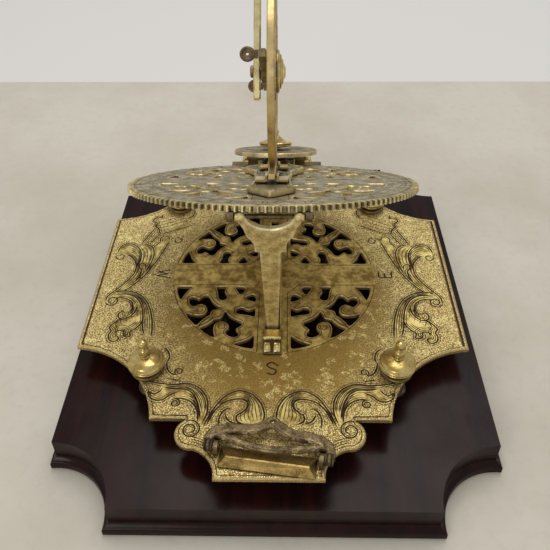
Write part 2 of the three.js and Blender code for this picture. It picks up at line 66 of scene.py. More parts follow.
def joint_frame(joint_name, x_axis=(1, 0, 0)):
    """Local frame at a joint whose axis is local Z."""
    z = Vector(joints[joint_name]["axis"]).normalized()
    x = Vector(x_axis)
    return frame_at(Vector(joints[joint_name]["pos_m"]), x, z.cross(x), z)


plate_low, plate_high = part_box("base_plate")
PLATE = frame_at(
    Vector(((plate_low.x + plate_high.x) / 2, (plate_low.y + plate_high.y) / 2, plate_high.z)),
    Vector((1, 0, 0)),
    Vector((0, 1, 0)),
    Vector((0, 0, 1)),
)
RING = joint_frame("carriage_turn")


# ---------- plane curves, in millimetres ----------
def arc(cx, cy, radius, start, end, steps):
    """Points on a circular arc; the angles are in degrees."""
    angles = np.radians(np.linspace(start, end, steps + 1))
    return np.column_stack((cx + radius * np.cos(angles), cy + radius * np.sin(angles)))


def smooth_curve(points, spacing=0.8):
    """A Catmull-Rom curve through the points, sampled about every `spacing` mm."""
    p = np.asarray(points, float)
    p = np.vstack((2 * p[0] - p[1], p, 2 * p[-1] - p[-2]))
    pieces = []
    for a, b, c, d in zip(p, p[1:], p[2:], p[3:]):
        count = max(2, int(np.ceil(np.linalg.norm(c - b) / spacing)))
        t = np.linspace(0, 1, count, endpoint=False)[:, None]
        square, cube = 2 * a - 5 * b + 4 * c - d, 3 * b - a - 3 * c + d
        pieces.append(0.5 * (2 * b + (c - a) * t + square * t**2 + cube * t**3))
    return np.vstack((*pieces, p[-2]))


def hole(cx, cy, radius, steps=32):
    """A round hole, as a loop."""
    return arc(cx, cy, radius, 0, 360, steps)[:-1]


def spiral(cx, cy, radius, start, turns, tightness=0.32, spacing=14):
    """Points of a volute that winds in from `radius`; negative turns wind clockwise."""
    count = max(8, int(abs(turns) * 360 / spacing))
    t = np.linspace(0, 1, count + 1)
    angles = math.radians(start) + t * turns * 2 * math.pi
    r = radius * (1 - (1 - tightness) * t)
    return np.column_stack((cx + r * np.cos(angles), cy + r * np.sin(angles)))


def mirrored(points):
    """The points mirrored about the plate's middle line, x = 0."""
    return np.asarray(points) * (-1, 1)


def closed(points):
    """The loop with its first point repeated at the end."""
    return np.vstack((points, points[:1]))


def inside(points, loops):
    """Which points lie inside an odd number of the closed loops."""
    points = np.asarray(points)
    odd = np.zeros(len(points), bool)
    for loop in loops:
        low, high = loop.min(0), loop.max(0)
        near = np.flatnonzero(((points >= low) & (points <= high)).all(1))
        if not len(near):
            continue
        x, y = points[near].T
        a, b = loop, np.roll(loop, -1, 0)
        for (x0, y0), (x1, y1) in zip(a, b):
            if y0 == y1:
                continue
            crosses = (y0 > y) != (y1 > y)
            odd[near] ^= crosses & (x < (x1 - x0) * (y - y0) / (y1 - y0) + x0)
    return odd


# ---------- distance fields, for pierced scrollwork with rounded corners ----------
class Field:
    """A square grid of points over a rectangle, and the contours of functions on it."""

    def __init__(self, low, high, cell):
        self.low, self.cell = np.asarray(low, float), cell
        counts = np.ceil((np.asarray(high) - self.low) / cell).astype(int) + 1
        axes = (self.low[k] + cell * np.arange(counts[k]) for k in (0, 1))
        self.x, self.y = np.meshgrid(*axes, indexing="ij")

    def stroke(self, points, start_width, end_width):
        """Distance to a tapering band along a line; negative inside. Widths are half widths."""
        best = np.full(self.x.shape, 1e9)
        widths = np.linspace(start_width, end_width, len(points))
        for (a, b), (wa, wb) in zip(zip(points, points[1:]), zip(widths, widths[1:])):
            d = b - a
            t = np.clip(((self.x - a[0]) * d[0] + (self.y - a[1]) * d[1]) / (d @ d), 0, 1)
            away = np.hypot(self.x - a[0] - t * d[0], self.y - a[1] - t * d[1])
            best = np.minimum(best, away - wa - (wb - wa) * t)
        return best

    def circle(self, cx, cy, radius):
        """Distance to a circle; negative inside."""
        return np.hypot(self.x - cx, self.y - cy) - radius

    def polygon(self, points):
        """Distance to a closed outline; negative inside."""
        away = self.stroke(closed(points), 0, 0)
        flat = np.column_stack((self.x.ravel(), self.y.ravel()))
        return np.where(inside(flat, [points]).reshape(self.x.shape), -away, away)

    def loops(self, values, level=0.0):
        """Closed contours worth cutting, thinned; specks of a few points are left out."""
        return [thinned(line, 0.02) for line in self.contours(values, level) if len(line) > 12]

    def contours(self, values, level):
        """Polylines where the values pass the level, by marching squares; a loop ends on its first point."""
        v = values - level
        v = np.where(v == 0, 1e-9, v)
        sign = v > 0
        mixed = sign[:-1, :-1].astype(int) + sign[1:, :-1] + sign[:-1, 1:] + sign[1:, 1:]
        links = {}

        def crossing(i, j, along_x):
            k, m = (i + 1, j) if along_x else (i, j + 1)
            return (i, j, along_x) if sign[i, j] != sign[k, m] else None

        for i, j in zip(*np.nonzero((mixed > 0) & (mixed < 4))):
            around = (
                crossing(i, j, True), crossing(i + 1, j, False), crossing(i, j + 1, True),
                crossing(i, j, False),
            )
            found = [edge for edge in around if edge]
            pairs = [found[:2], found[2:]] if len(found) == 4 else [found]
            for a, b in pairs:
                links.setdefault(a, []).append(b)
                links.setdefault(b, []).append(a)

        def place(edge):
            i, j, along_x = edge
            k, m = (i + 1, j) if along_x else (i, j + 1)
            t = v[i, j] / (v[i, j] - v[k, m])
            return self.low + self.cell * np.array((i + t * along_x, j + t * (not along_x)))

        lines, used = [], set()
        ends = [edge for edge, near in links.items() if len(near) == 1]
        for start in ends + list(links):
            if start in used:
                continue
            line, here, before = [], start, None
            while here is not None and here not in used:
                used.add(here)
                line.append(place(here))
                following = [e for e in links[here] if e != before and e not in used]
                before, here = here, (following[0] if following else None)
            if start not in ends:
                line.append(line[0])
            lines.append(np.array(line))
        return lines


def thinned(line, tolerance):
    """The line with fewer points, moved by no more than the tolerance (Douglas-Peucker)."""
    keep = np.zeros(len(line), bool)
    keep[[0, -1]] = True
    stack = [(0, len(line) - 1)]
    if np.allclose(line[0], line[-1]):
        middle = len(line) // 2
        keep[middle] = True
        stack = [(0, middle), (middle, len(line) - 1)]
    while stack:
        a, b = stack.pop()
        if b - a < 2:
            continue
        d = line[b] - line[a]
        away = np.abs(d[0] * (line[a + 1 : b, 1] - line[a, 1]) - d[1] * (line[a + 1 : b, 0] - line[a, 0]))
        away = away / max(np.linalg.norm(d), 1e-9)
        worst = int(away.argmax())
        if away[worst] > tolerance:
            keep[a + 1 + worst] = True
            stack += [(a, a + 1 + worst), (a + 1 + worst, b)]
    return line[keep]


def smooth_max(a, b, radius):
    """The larger of two fields, with the inner corner between them rounded."""
    t = np.clip(0.5 + 0.5 * (a - b) / radius, 0, 1)
    return b + (a - b) * t + radius * t * (1 - t)


def smooth_min(a, b, radius):
    """The smaller of two fields, with the corner between them rounded."""
    return -smooth_max(-a, -b, radius)


def inset(points, *amounts, cell=0.25):
    """For each amount, the outline moved inwards by it."""
    field = Field(points.min(0) - 1, points.max(0) + 1, cell)
    distance = field.polygon(points)
    return [field.loops(distance, -amount) for amount in amounts]


# ---------- engraved and pierced slabs ----------
def groove(points, width=0.45, depth=0.2, taper=1.0, ends=(0.25, 0.25)):
    """An engraved V-shaped line, narrowed and shallowed to the shares `ends` over `taper` mm at its ends."""
    points = np.asarray(points, float)
    steps = np.linalg.norm(np.diff(points, axis=0), axis=1)
    along = np.concatenate(([0], steps.cumsum()))
    loop = np.allclose(points[0], points[-1])
    share = np.ones(len(points))
    if not loop:
        taper = min(taper, along[-1] / 2)
        share = np.minimum(share, ends[0] + (1 - ends[0]) * along / taper)
        share = np.minimum(share, ends[1] + (1 - ends[1]) * (along[-1] - along) / taper)
    return {"points": points, "half": width / 2 * share, "depth": depth * share, "loop": loop}


def side_lines(line):
    """The two edges of a groove."""
    points = line["points"]
    along = np.gradient(points, axis=0)
    if line["loop"]:
        along[[0, -1]] = points[1] - points[-2]
    along /= np.maximum(np.linalg.norm(along, axis=1, keepdims=True), 1e-9)
    across = np.column_stack((-along[:, 1], along[:, 0])) * line["half"][:, None]
    return points + across, points - across


class Relief:
    """Depth of all the engraving on a fine grid, so that crossing grooves meet at the right depth."""

    def __init__(self, low, high, cell=0.14):
        self.low, self.cell = np.asarray(low, float), cell
        self.depth = np.zeros(np.ceil((np.asarray(high) - self.low) / cell).astype(int) + 3, np.float32)

    def carve(self, line):
        points, half, depth = line["points"], line["half"], line["depth"]
        for a, b, ha, hb, da, db in zip(points, points[1:], half, half[1:], depth, depth[1:]):
            reach = max(ha, hb)
            i0, j0 = np.maximum(((np.minimum(a, b) - reach - self.low) / self.cell).astype(int), 0)
            i1, j1 = ((np.maximum(a, b) + reach - self.low) / self.cell).astype(int) + 2
            x, y = np.meshgrid(np.arange(i0, i1) * self.cell, np.arange(j0, j1) * self.cell, indexing="ij")
            x, y = x + self.low[0] - a[0], y + self.low[1] - a[1]
            d = b - a
            t = np.clip((x * d[0] + y * d[1]) / max(d @ d, 1e-12), 0, 1)
            away = np.hypot(x - t * d[0], y - t * d[1])
            here = (da + (db - da) * t) * (1 - away / (ha + (hb - ha) * t))
            window = self.depth[i0:i1, j0:j1]
            np.maximum(window, here[: window.shape[0], : window.shape[1]], out=window)

    def at(self, points):
        grid = np.clip((points - self.low) / self.cell, 0, np.array(self.depth.shape) - 2)
        i, j = grid.astype(int).T
        u, v = (grid - grid.astype(int)).T
        d = self.depth
        near = d[i, j] * (1 - u) + d[i + 1, j] * u
        far = d[i, j + 1] * (1 - u) + d[i + 1, j + 1] * u
        return near * (1 - v) + far * v


def triangulated(points, edges, loops):
    """Triangles that keep to the edges and lie in the loops, with the final points and their sources."""
    result = delaunay_2d_cdt([Vector(p) for p in points], edges, [], 0, 1e-5, True)
    made = np.array([tuple(p) for p in result[0]])
    triangles = np.array(result[2])
    triangles = triangles[inside(made[triangles].mean(1), loops)]
    return made, triangles, result[3]


SHALLOWEST_CUT = 0.05
WALL_RIM = 0.6


def free_edges(triangles):
    """The sides that belong to one triangle only, in the direction in which the triangle runs."""
    sides = np.vstack((triangles[:, [0, 1]], triangles[:, [1, 2]], triangles[:, [2, 0]]))
    _, first, count = np.unique(np.sort(sides, 1), axis=0, return_index=True, return_counts=True)
    return sides[first[count == 1]]


def numbered(ids, size, first=0):
    """A table that gives each id its place in the list, counted from `first`, and -1 to the rest."""
    table = np.full(size, -1)
    table[ids] = first + np.arange(len(ids))
    return table


class Drawing:
    """The points and lines that a slab's top follows, each point with its height and nearness to an edge."""

    def __init__(self):
        self.points, self.heights, self.rims, self.edges = [], [], [], []

    def add(self, line, z, rim, loop):
        first = len(self.points)
        line = line[:-1] if loop and np.allclose(line[0], line[-1]) else line
        self.scatter(line, z, rim)
        self.edges.extend((k, k + 1) for k in range(first, len(self.points) - 1))
        if loop:
            self.edges.append((len(self.points) - 1, first))

    def engrave(self, line, floor):
        end = -1 if line["loop"] else None
        self.add(line["points"][:end], floor - line["depth"][:end], 0.0, line["loop"])
        for side in side_lines(line):
            self.add(side[:end], floor, 0.0, line["loop"])

    def scatter(self, points, z, rim):
        """Add points that no line joins."""
        self.points.extend(points)
        self.heights.extend(np.broadcast_to(z, len(points)))
        self.rims.extend([rim] * len(points))


def staggered_points(low, high, spacing, loops):
    """Points all over the ground inside the loops, in staggered columns."""
    columns = np.arange(low[0] + spacing / 2, high[0], spacing * 0.87)
    rows = np.arange(low[1] + spacing / 2, high[1], spacing)
    points = np.array([(x, y + (k % 2) * spacing / 2) for k, x in enumerate(columns) for y in rows])
    return points[inside(points, loops)]


def engraved_top(loops, grooves, terraces, edge, floor, sunk, spacing):
    """Final points, triangles, heights, depths of cut and nearness to an edge of a slab's top."""
    low = np.min([loop.min(0) for loop in loops], 0)
    high = np.max([loop.max(0) for loop in loops], 0)
    relief = Relief(low, high)
    drawing = Drawing()
    for loop in loops:
        drawing.add(loop, -edge, 1.0, True)
    for lines, z in terraces:
        for line in lines:
            drawing.add(line, z, 0.9, np.allclose(line[0], line[-1]))
    surface_count = len(drawing.points)
    for line in grooves:
        relief.carve(line)
        drawing.engrave(line, floor)
    ground = staggered_points(low, high, spacing, loops)
    drawing.scatter(ground, np.where(inside(ground, sunk), floor, 0) if len(sunk) else floor, 0.0)
    heights, rims = np.array(drawing.heights), np.array(drawing.rims)

    made, triangles, sources = triangulated(drawing.points, drawing.edges, loops)
    z, rim, on_surface = np.full(len(made), floor), np.zeros(len(made)), np.zeros(len(made), bool)
    for k, source in enumerate(sources):
        if source:
            z[k] = heights[source].min()
            rim[k] = rims[source].max()
            on_surface[k] = min(source) < surface_count
    carved = relief.at(made) if len(grooves) else np.zeros(len(made))
    carved[carved < SHALLOWEST_CUT] = 0
    deepest = max([line["depth"].max() for line in grooves], default=1)
    z = np.where(on_surface | (carved == 0), z, np.minimum(z, floor - carved))
    cut = np.clip(np.where(on_surface, 0, floor - z) / deepest, 0, 1)
    return made, triangles, z, cut, rim


def engraved_slab(
    loops, thickness, grooves=(), terraces=(), edge=0.3, floor=0.0, sunk=(), leaves=(),
    spacing=2.5, two_sided=False
):
    """A slab whose top is at z = 0, bounded by closed loops, with its top edges eased by `edge`.

    Terraces are (lines, z) where the surface stands at that height. The engraved ground stands at `floor`,
    within the `sunk` loops if there are any.
    Returns the mesh as vertices and faces, with two values a vertex (how deep it is cut, and how near an edge
    it is) and one value a face (whether it lies within the `leaves` outlines).
    """
    made, triangles, z, cut, rim = engraved_top(loops, grooves, terraces, edge, floor, sunk, spacing)
    directed = free_edges(triangles)
    used, border = np.unique(triangles), np.unique(directed)
    number = numbered(used, len(made))
    top = np.column_stack((made[used], z[used]))
    faces = [tuple(t) for t in number[triangles]]
    if two_sided:
        under = numbered(used, len(made), len(top))
        bottom = np.column_stack((made[used], -thickness - z[used]))
        faces += [(under[c], under[b], under[a]) for a, b, c in triangles]
        cut, rim = np.tile(cut[used], 2), np.tile(rim[used], 2)
    else:
        under = numbered(border, len(made), len(top))
        bottom = np.column_stack((made[border], np.full(len(border), -thickness)))
        where = numbered(border, len(made))
        _, lower, origin = triangulated(made[border], [tuple(where[e]) for e in directed], loops)
        back = np.array([source[0] if source else -1 for source in origin])
        known = (triangle for triangle in back[lower] if min(triangle) >= 0)
        faces += [(under[border[c]], under[border[b]], under[border[a]]) for a, b, c in known]
        cut = np.concatenate((cut[used], np.zeros(len(border))))
        rim = np.concatenate((rim[used], np.full(len(border), WALL_RIM)))
    faces += [(number[a], under[a], under[b], number[b]) for a, b in directed]
    leaf = np.zeros(len(faces))
    leaf[: len(triangles)] = inside(made[triangles].mean(1), leaves) if len(leaves) else 0
    return {"points": np.vstack((top, bottom)), "faces": faces, "cut": cut, "rim": rim, "leaf": leaf}


# ---------- pieces ----------
def make_piece(name, place, points, faces, body, material, replaces=(), smooth=None, values=None):
    """A mesh object from local points, riding on a body; edges of less than `smooth` degrees are soft."""
    mesh = bpy.data.meshes.new(name)
    mesh.from_pydata([place @ Vector(p) for p in points], [], [tuple(int(k) for k in face) for face in faces])
    for label, numbers in (values or {}).items():
        domain = "FACE" if len(numbers) == len(faces) else "POINT"
        mesh.attributes.new(label, "FLOAT", domain).data.foreach_set("value", np.asarray(numbers, np.float32))
    mesh.materials.append(material)
    if smooth is not None:
        mesh.shade_smooth()
        mesh.set_sharp_from_angle(angle=math.radians(smooth))
    obj = bpy.data.objects.new(name, mesh)
    bpy.context.scene.collection.objects.link(obj)
    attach(obj, body)
    if replaces:
        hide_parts(*replaces)
    return obj


def slab_piece(name, place, slab, body, material, replaces=()):
    """A piece from an engraved slab, with what its finish reads: cuts, rims and leaves."""
    values = {label: slab[label] for label in ("cut", "rim", "leaf")}
    return make_piece(
        name, place, slab["points"], slab["faces"], body, material, replaces, None, values,
    )


def turned_mesh(profile, segments=96):
    """Points and faces of a form turned about local Z, from a profile that ends on the axis or is a loop."""
    profile = np.asarray(profile, float)
    angles = np.linspace(0, 2 * math.pi, segments, endpoint=False)
    points, rows = [], []
    for r, z in profile:
        if r < 1e-6:
            rows.append([len(points)] * segments)
            points.append((0, 0, z))
            continue
        rows.append(list(range(len(points), len(points) + segments)))
        points.extend((r * math.cos(a), r * math.sin(a), z) for a in angles)
    if np.allclose(profile[0], profile[-1]):
        rows[-1] = rows[0]
        points = points[:-segments]
    faces = []
    for lower, upper in zip(rows, rows[1:]):
        for k in range(segments):
            m = (k + 1) % segments
            face = list(dict.fromkeys((lower[k], lower[m], upper[m], upper[k])))
            if len(face) > 2:
                faces.append(face)
    return points, faces


def turned_piece(name, place, profile, body, material, slot, replaces=(), smooth=28, segments=96):
    """A piece turned about the local Z of its place."""
    points, faces = turned_mesh(profile, segments)
    return make_piece(name, place, points, faces, body, material, replaces, smooth)


def run(*stretches, steps=7):
    """A turned profile; stretches of three or more points are smooth, and stretches meet at corners."""
    points = []
    for stretch in stretches:
        stretch = np.asarray(stretch, float)
        if len(stretch) > 2:
            span = np.linalg.norm(np.diff(stretch, axis=0), axis=1).sum()
            stretch = smooth_curve(stretch, span / (steps * (len(stretch) - 1)))
        points.extend(stretch)
    return np.maximum(points, (0, -1e9))


# ---------- pierced scrollwork, shared by the base plate and the hour ring ----------
FRET_RADIUS = 55.9
PLATE_FRET_Y = 1.7
# The holes on one side of a quadrant's diagonal, from the scrollwork's centre and in the base plate's size.
FRET_HOLES = [
    [
        (15.2, 11.6), (16.6, 9.6), (21.2, 9.6), (21, 11.2), (19.2, 14.6), (18, 15.8), (16.8, 14.2),
    ],
    [
        (25.6, 9.6), (32.4, 9.6), (31.4, 12), (30.7, 15), (30.5, 18), (29.3, 20), (27, 20.1),
        (25.6, 18.6), (25.5, 16.2), (26.7, 15), (27.4, 13.2), (26.6, 11),
    ],
    [
        (45.2, 9.6), (54, 9.6), (53.8, 12.4), (52.8, 16.2), (51.2, 20), (50.4, 18.2), (48.6, 13.6),
        (46.6, 11),
    ],
    [
        (28, 25.4), (30.2, 24.6), (32.4, 22.6), (34.2, 20), (35.4, 17.2), (36.8, 16.2), (38.8, 16.8),
        (40.2, 18.8), (41.4, 19.6), (42.4, 18.4), (44.2, 17.6), (46, 18.2), (46.6, 20.2), (46, 22.4),
        (44.6, 24.2), (43, 24.9), (41.6, 23.9), (39.8, 23), (37.8, 23.4), (36.4, 24.8), (35.6, 26.8),
        (35.8, 29), (37, 30.6), (39, 31.3), (41.6, 31.3), (44.4, 30.7), (46.6, 29.8), (46.3, 31.8),
        (44.8, 34), (42.4, 36.8), (40.8, 38.4), (39.8, 37.8), (38.2, 35), (35.8, 32.4), (34, 31.2),
        (33.6, 29.4), (33.4, 27.8), (31.4, 27), (29.6, 26.6),
    ],
]
FRET_BAND, FRET_EASE, FRET_INNER = 9.6, 0.35, 0.95
BORDER_RADIUS, BORDER_BAND_X, BORDER_BAND_Y, BORDER_CHAMFER = 57.1, 7.7, 8.2, 6.5
FRET_CURLS = [(39.4, 27.3, 2.3, 210, 1.2), (28.3, 17.4, 1.9, 130, 1.1)]
DIAGONAL_LEAF = [(31.6, 31.6), (34.4, 35.6), (38, 38.4), (41, 41)]


def rounded(points, reach=1.0):
    """The closed outline with its corners cut three times, the first cut starting within `reach` of them."""
    points = np.asarray(points, float)
    for _ in range(3):
        step = np.roll(points, -1, 0) - points
        share = np.minimum(0.25, reach / np.linalg.norm(step, axis=1, keepdims=True))
        points = np.stack((points + step * share, points + step * (1 - share)), 1).reshape(-1, 2)
        reach /= 2
    return points


def across_diagonal(lines):
    """The lines and their mirror images across the diagonal x = y."""
    return [*lines, *(line[:, ::-1] for line in lines)]


def fourfold(lines, centre_y):
    """The lines in all four quadrants, about a centre on the middle line."""
    return [line * (sx, sy) + (0, centre_y) for line in lines for sx in (1, -1) for sy in (1, -1)]


def lines_along(field, metal, limit):
    """Open lines at FRET_INNER from the holes, without the stretches where they follow the limit instead."""
    lines = []
    for line in field.contours(np.maximum(metal - FRET_INNER, limit), 0):
        grid = ((line - field.low) / field.cell).round().astype(int)
        grid = np.clip(grid, 0, np.array(metal.shape) - 1)
        follows = np.abs(metal[grid[:, 0], grid[:, 1]] - FRET_INNER) < 0.2
        breaks = np.flatnonzero(np.diff(follows.astype(int))) + 1
        parts = zip(np.split(line, breaks), np.split(follows, breaks))
        lines += [thinned(part, 0.04) for part, kept in parts if len(part) > 10 and kept.all()]
    return lines


def fret(radius, centre_y=0.0):
    """Loops of the holes and of their eased edges, the lines engraved on the scrolls, and the borders."""
    scale = radius / FRET_RADIUS
    holes = across_diagonal([rounded(np.array(corners) * scale) for corners in FRET_HOLES])
    field = Field((0, 0), (radius + 3, radius + 3), 0.3)
    metal = np.minimum.reduce([field.polygon(loop) for loop in holes])
    eased = [thinned(line, 0.03) for line in field.contours(metal, FRET_EASE)]
    opening = smooth_max(field.circle(0, 0, radius), FRET_BAND * scale - field.x, 0.1)
    opening = smooth_max(opening, FRET_BAND * scale - field.y, 0.1) + 0.6
    inner = lines_along(field, metal, opening)
    curls = [spiral(x * scale, y * scale, r * scale, start, turns) for x, y, r, start, turns in FRET_CURLS]
    leaf = smooth_curve(np.array(DIAGONAL_LEAF) * scale)
    border = smooth_max(field.circle(0, 0, BORDER_RADIUS * scale), BORDER_BAND_X * scale - field.x, 0.4)
    border = smooth_max(border, BORDER_BAND_Y * scale - field.y, 0.4)
    corner = (BORDER_BAND_X + BORDER_BAND_Y + BORDER_CHAMFER) * scale
    border = smooth_max(border, (corner - field.x - field.y) / math.sqrt(2), 0.4)
    return {
        "loops": fourfold(holes, centre_y),
        "eased": fourfold(eased, centre_y),
        "inner": fourfold(inner + across_diagonal([*curls, leaf]), centre_y),
        "border": fourfold([thinned(line, 0.04) for line in field.contours(border, 0)], centre_y),
    }


# ---------- materials ----------
def srgb(red, green, blue):
    """Linear colour from screen values of 0 to 255."""
    return tuple((((v / 255) + 0.055) / 1.055) ** 2.4 for v in (red, green, blue)) + (1.0,)


class Finish:
    """A material being built from nodes; the sizes in its patterns are in millimetres."""

    def __init__(self, name, metallic=0.0):
        self.material = bpy.data.materials.new(name)
        self.material.use_nodes = True
        self.nodes = self.material.node_tree.nodes
        self.links = self.material.node_tree.links
        self.surface = self.nodes["Principled BSDF"]
        self.surface.inputs["Metallic"].default_value = metallic
        place = self.nodes.new("ShaderNodeTexCoord").outputs["Object"]
        self.place = self.scaled(place, (1 / MM, 1 / MM, 1 / MM))

    def step(self, kind, inputs, **settings):
        """A node of the kind, with its inputs linked to sockets or set to numbers."""
        node = self.nodes.new(kind)
        for setting, value in settings.items():
            setattr(node, setting, value)
        for socket, value in inputs.items():
            if isinstance(value, bpy.types.NodeSocket):
                self.links.new(value, node.inputs[socket])
            else:
                node.inputs[socket].default_value = value
        return node

    def scaled(self, vector, scale):
        return self.step("ShaderNodeVectorMath", {0: vector, 1: scale}, operation="MULTIPLY").outputs[0]

    def distance(self, vector, centre):
        apart = self.step("ShaderNodeVectorMath", {0: vector, 1: centre}, operation="DISTANCE")
        return apart.outputs["Value"]

    def noise(self, size, detail=3.0, roughness=0.55, stretch=(1, 1, 1), distortion=0.0):
        """Cloudy pattern with lumps of about `size`, longer along an axis by its stretch."""
        vector = self.scaled(self.place, tuple(1 / (size * s) for s in stretch))
        inputs = {"Vector": vector, "Scale": 1.0, "Detail": detail, "Roughness": roughness}
        return self.step("ShaderNodeTexNoise", {**inputs, "Distortion": distortion}).outputs[0]

    def cells(self, size):
        """Distance from the middle of each grain of a pattern of grains."""
        inputs = {"Vector": self.place, "Scale": 1 / size}
        return self.step("ShaderNodeTexVoronoi", inputs).outputs["Distance"]

    def made(self, label):
        """A value stored on the mesh: `cut` in engraved lines or `rim` on eased edges; on the catch they
        carry painted shade and a painted highlight.
        """
        return self.step("ShaderNodeAttribute", {}, attribute_name=label).outputs["Fac"]

    def span(self, value, low, high, to_low=0.0, to_high=1.0):
        """The value carried from one range to another, and held at its ends."""
        inputs = {"Value": value, "From Min": low, "From Max": high, "To Min": to_low, "To Max": to_high}
        return self.step("ShaderNodeMapRange", inputs).outputs[0]

    def sum(self, a, b, operation="ADD"):
        return self.step("ShaderNodeMath", {0: a, 1: b}, operation=operation).outputs[0]

    def times(self, a, b):
        return self.sum(a, b, "MULTIPLY")

    def mix(self, factor, a, b):
        """A colour between two, by the factor."""
        node = self.step("ShaderNodeMix", {}, data_type="RGBA")
        for socket, value in ((node.inputs[0], factor), (node.inputs[6], a), (node.inputs[7], b)):
            if isinstance(value, bpy.types.NodeSocket):
                self.links.new(value, socket)
            else:
                socket.default_value = value
        return node.outputs[2]

    def shelter(self, reach):
        """How enclosed the surface is within `reach`: 1 in a deep corner, 0 in the open; the finishes paint
        shade with it.
        """
        occlusion = self.step("ShaderNodeAmbientOcclusion", {"Distance": reach * MM}, samples=6)
        return self.span(occlusion.outputs["AO"], 0.35, 0.9, 1.0, 0.0)

    def finish(self, colour, roughness, *heights):
        """Connect the results; each height is (pattern, depth in mm)."""
        normal = None
        for pattern, depth in heights:
            inputs = {"Height": pattern, "Strength": 1.0, "Distance": depth * MM}
            if normal:
                inputs["Normal"] = normal
            normal = self.step("ShaderNodeBump", inputs).outputs[0]
        self.links.new(colour, self.surface.inputs["Base Color"])
        self.links.new(roughness, self.surface.inputs["Roughness"])
        if normal:
            self.links.new(normal, self.surface.inputs["Normal"])
        return self.material


def worn_metal(name, colours, rough, patch, grain, relief, spread=0.09, metallic=0.85):
    """Old brass or bronze: cloudy tarnish, fine grain, bright edges of wear and painted highlight, painted
    shade in corners, and dark lines.

    The colours are the dark and the light of the tarnish, the worn and highlighted edges, and the engraved
    lines with the painted shade.
    """
    dark, light, edge, lines_and_shade = (srgb(*colour) for colour in colours)
    f = Finish(name, metallic)
    patches = f.noise(patch, 5, 0.6)
    grains = f.noise(grain, 3, 0.6)
    scratches = f.noise(0.35, 2, 0.5, (14, 1, 1))
    tone = f.span(f.sum(f.times(patches, 0.6), f.times(grains, 0.4)), 0.5 - spread, 0.5 + spread)
    colour = f.mix(tone, dark, light)
    # bright edges from the rim value: partly wear and partly painted highlight (the catch sets it on its lit
    # tops)
    wear_and_painted_highlight = f.times(f.made("rim"), f.span(patches, 0.35, 0.6, 0.45, 1.0))
    colour = f.mix(wear_and_painted_highlight, colour, edge)
    # painted shade: darker towards the shade colour where the occlusion mask finds corners and crevices,
    # mottled by the grain
    painted_shade = f.times(f.shelter(3.0), f.span(grains, 0.3, 0.7, 0.95, 0.6))
    colour = f.mix(painted_shade, colour, lines_and_shade)
    # engraved lines are darkened by their cut value; on the catch this value carries painted shade instead
    colour = f.mix(f.span(f.made("cut"), 0.05, 0.6), colour, lines_and_shade)
    roughness = f.sum(f.span(tone, 0, 1, rough[1], rough[0]), f.times(scratches, 0.12))
    return f.finish(colour, roughness, (grains, relief), (scratches, relief * 0.4))


# The painted shade under the hour ring is an oval, narrowed east to west and shifted south of the pierced
# circle.
RING_SHADE_SQUEEZE, RING_SHADE_SOUTH = 1.25, 16


def plate_finish():
    """Brass with a punched granular ground round the pierced circle, and smooth mottled bands in it; painted
    shade falls under the hour ring and in corners.
    """
    f = Finish("stippled_brass", 0.78)
    centre = (PLATE.translation.x / MM, PLATE.translation.y / MM + PLATE_FRET_Y, 0)
    flat = f.scaled(f.place, (1, 1, 0))
    radius = f.distance(flat, centre)
    leaf = f.made("leaf")
    ground = f.sum(f.span(radius, BORDER_RADIUS, BORDER_RADIUS + 0.5), leaf, "SUBTRACT")
    specks = f.noise(0.55, 3, 0.7)
    dimples = f.times(f.span(f.cells(0.7), 0.1, 0.62), 0.35)
    grain = f.span(f.sum(dimples, f.times(specks, 0.9)), 0.52, 0.86)
    clouds = f.noise(24, 5, 0.62)
    patches = f.noise(5, 5, 0.65)
    stippled = f.mix(grain, srgb(255, 234, 160), srgb(126, 94, 42))
    south = (centre[0] * RING_SHADE_SQUEEZE, centre[1] - RING_SHADE_SOUTH, 0)
    from_south = f.distance(f.scaled(flat, (RING_SHADE_SQUEEZE, 1, 0)), south)
    # painted shade under the hour ring, its edge made irregular by the clouds
    painted_ring_shade = f.span(f.sum(from_south, f.times(clouds, 44)), 84, 104, 0.85, 0.0)
    stippled = f.mix(painted_ring_shade, stippled, srgb(166, 134, 62))
    bright = f.times(f.span(patches, 0.56, 0.6, 0.0, 1.0), f.span(specks, 0.54, 0.47, 0.0, 1.0))
    stippled = f.mix(bright, stippled, srgb(255, 238, 166))
    smooth = f.mix(f.span(f.noise(5, 5, 0.65), 0.4, 0.6), srgb(152, 124, 62), srgb(228, 202, 124))
    smooth = f.mix(f.span(specks, 0.55, 0.75, 0.0, 0.4), smooth, srgb(124, 98, 56))
    colour = f.mix(f.span(ground, 0, 1), smooth, stippled)
    leaf_tone = f.mix(f.span(patches, 0.4, 0.6), srgb(158, 132, 70), srgb(236, 216, 140))
    colour = f.mix(leaf, colour, leaf_tone)
    rim = f.times(f.made("rim"), f.span(clouds, 0.35, 0.6, 0.9, 0.6))
    colour = f.mix(rim, colour, srgb(188, 162, 108))
    colour = f.mix(f.span(f.made("cut"), 0.03, 0.3), colour, srgb(66, 44, 32))
    # painted shade in corners and under parts, from the occlusion mask
    colour = f.mix(f.times(f.shelter(2.0), 0.7), colour, srgb(56, 41, 26))
    roughness = f.sum(f.span(grain, 0, 1, 0.32, 0.5), f.times(f.span(clouds, 0.4, 0.6), 0.08))
    dents = f.times(grain, f.span(ground, 0, 1, 0.1, 1.0))
    return f.finish(colour, roughness, (dents, -0.1), (specks, 0.02))


